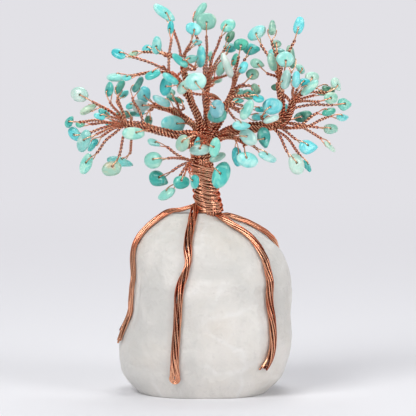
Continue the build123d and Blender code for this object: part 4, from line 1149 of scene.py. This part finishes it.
# Pairs that cross from one branch to another, and pairs that stand round the trunk's head.
crownShape = {"crossings": [("left", "rightLow"), ("upperLeft", "centre"), ("midLeft", "upperMiddle"),
                            ("left", "topCentre"), ("rightLow", "upperMiddle"), ("frontLow", "lowerRight"),
                            ("upperLeft", "left"), ("centre", "rightLow")],
              "standing": 26}
tangle = Surface()
crownMiddle = spot(208, 134, 0.0)
for n, (one, other) in enumerate(crownShape["crossings"]):
    over = crownMiddle + np.array([1.4 * np.cos(2.4 * n), -3.4 + 1.2 * (n % 3) - (n > 4) * 1.0,
                                   2.2 * np.sin(2.4 * n) - 1])
    ends = []
    for name, rise in ((one, 0.4), (other, -0.4)):
        start, run = ways[name][0], ways[name][1] - ways[name][0]
        forward = np.array([0, -1.6 if name == one else -1.4, rise])
        stop = 0.55 if "bend" in branches[name] else 0.8
        ends.append([start + run * stop, start + run * 0.15 + forward])
    path = np.array([*ends[0], over, *ends[1][::-1]])
    addPair(tangle, evenly(roundCorners(path, 4), step), n, wireShape["pitch"])
for n in range(crownShape["standing"]):
    sector = circled(fullTurn * (n + 0.5) / crownShape["standing"], acrossTrunk, awayTrunk)
    reach = 3.0 + 0.5 * np.sin(n * 1.9)
    inCrown = sector * (1.9 + 0.8 * np.cos(n * 2.7)) + vertical * (1 + np.sin(n * 3.1))
    path = np.array([head - trunkAxis * 3 + sector * reach, head + trunkAxis * 2.5 + sector * (reach + 0.1),
                     head + trunkAxis * 6.5 + sector * (reach + 0.4) + np.array([0.8, 0, 0]),
                     crownMiddle + inCrown])
    addPair(tangle, evenly(roundCorners(path, 3), step), n, wireShape["pitch"])
tangle.piece("crownTangle", twigCopper, "copper", ["crown_mass"], "root")
print("crown ready")


stageLook = {"floor": (236, 236, 239), "back": (226, 225, 230), "fadeStart": 0.12, "fadeEnd": 0.7,
             "world": (236, 236, 240), "worldStrength": 0.38}


def makeSweep(look):
    # A floor that curves up into a backdrop: flat, then a quarter circle, then straight up.
    columns = 9
    across, turn = np.linspace(-4, 4, columns), np.linspace(0, np.pi / 2, 25)
    curve = np.stack([1.6 + 0.9 * np.sin(turn), 0.9 - 0.9 * np.cos(turn)], 1)
    profile = np.concatenate([[(-3.2, 0.0)], curve, [(2.5, 4.0)]])
    points = np.stack(np.broadcast_arrays(across, profile[:, :1], profile[:, 1:]), -1).reshape(-1, 3)
    # The grid's last column is open here, so the faces that would close it are dropped.
    quads = gridQuads(len(profile), columns).reshape(-1, columns, 4)[:, :-1].reshape(-1, 4)
    mesh = bpy.data.meshes.new("sweep")
    mesh.from_pydata(points.tolist(), [], quads.tolist())
    mesh.polygons.foreach_set("use_smooth", np.ones(len(quads), bool))
    material = bpy.data.materials.new("sweepPaper")
    material.use_nodes = True
    tree = material.node_tree
    away = addNode(tree, "SeparateXYZ", {0: addNode(tree, "TexCoord").outputs["Object"]}).outputs["Y"]
    shader = tree.nodes["Principled BSDF"]
    fill(tree, shader, {"Roughness": 0.9, "Base Color": mixNode(
        tree, rampNode(tree, away, 0.1, 1.8), linear(*look["floor"]), linear(*look["back"]))})
    # Far from the tree the paper shows its plain colour; near it, it keeps the tree's shadow.
    rays = addNode(tree, "LightPath").outputs
    mirrored = mathNode(tree, "MAXIMUM", rays["Is Glossy Ray"], rays["Is Transmission Ray"])
    seen = mathNode(tree, "MAXIMUM", rays["Is Camera Ray"], mirrored)
    far = rampNode(tree, away, look["fadeStart"], look["fadeEnd"])
    plain = addNode(tree, "Emission", {"Color": linear(*look["back"]), "Strength": 1.0})
    blend = addNode(tree, "MixShader", {0: mathNode(tree, "MULTIPLY", seen, far), 1: shader.outputs[0],
                                        2: plain.outputs[0]})
    tree.links.new(blend.outputs[0], tree.nodes["Material Output"].inputs["Surface"])
    mesh.materials.append(material)
    sweep = bpy.data.objects.new("sweep", mesh)
    scene.collection.objects.link(sweep)


lampAim = Vector((0, 0, 0.07))


def addLamp(name, place, size, power):
    lamp = bpy.data.lights.new(name, "AREA")
    lamp.shape, lamp.size, lamp.energy = "SQUARE", size, power
    obj = bpy.data.objects.new(name, lamp)
    obj.location = place
    obj.rotation_euler = (lampAim - Vector(place)).to_track_quat("-Z", "Y").to_euler()
    scene.collection.objects.link(obj)


def makeView():
    # A long lens level with the tree and tilted down by the picture's own angle.
    distance, tilt, frameWidth = 2.0, crown["tilt"], crown["picturePx"] * pixel * metre
    middlePx = crown["picturePx"] / 2
    aim = np.array([(middlePx - crown["axisPx"]) * pixel, 0, crown["trunkTop"]
                    + (crown["trunkTopPx"] - middlePx) * pixel / np.cos(tilt)]) * metre
    camera = bpy.data.cameras.new("view")
    camera.sensor_width, camera.lens, camera.clip_end = 36, 36 * distance / frameWidth, 20
    obj = bpy.data.objects.new("view", camera)
    obj.location = aim + distance * np.array([0, -np.cos(tilt), np.sin(tilt)])
    obj.rotation_euler = (np.pi / 2 - tilt, 0, 0)
    scene.collection.objects.link(obj)
    scene.camera = obj


makeSweep(stageLook)
addLamp("keyLamp", (-0.7, -0.9, 1.1), 0.7, 12.5)
addLamp("fillLamp", (1.0, -0.8, 0.6), 0.6, 6)
addLamp("topLamp", (0.1, 0.5, 1.3), 0.6, 6)
world = bpy.data.worlds.new("room")
world.use_nodes = True
fill(world.node_tree, world.node_tree.nodes["Background"],
     {"Color": linear(*stageLook["world"]), "Strength": stageLook["worldStrength"]})
scene.world = world
makeView()
scene.view_settings.view_transform = "Standard"
print("stage ready")
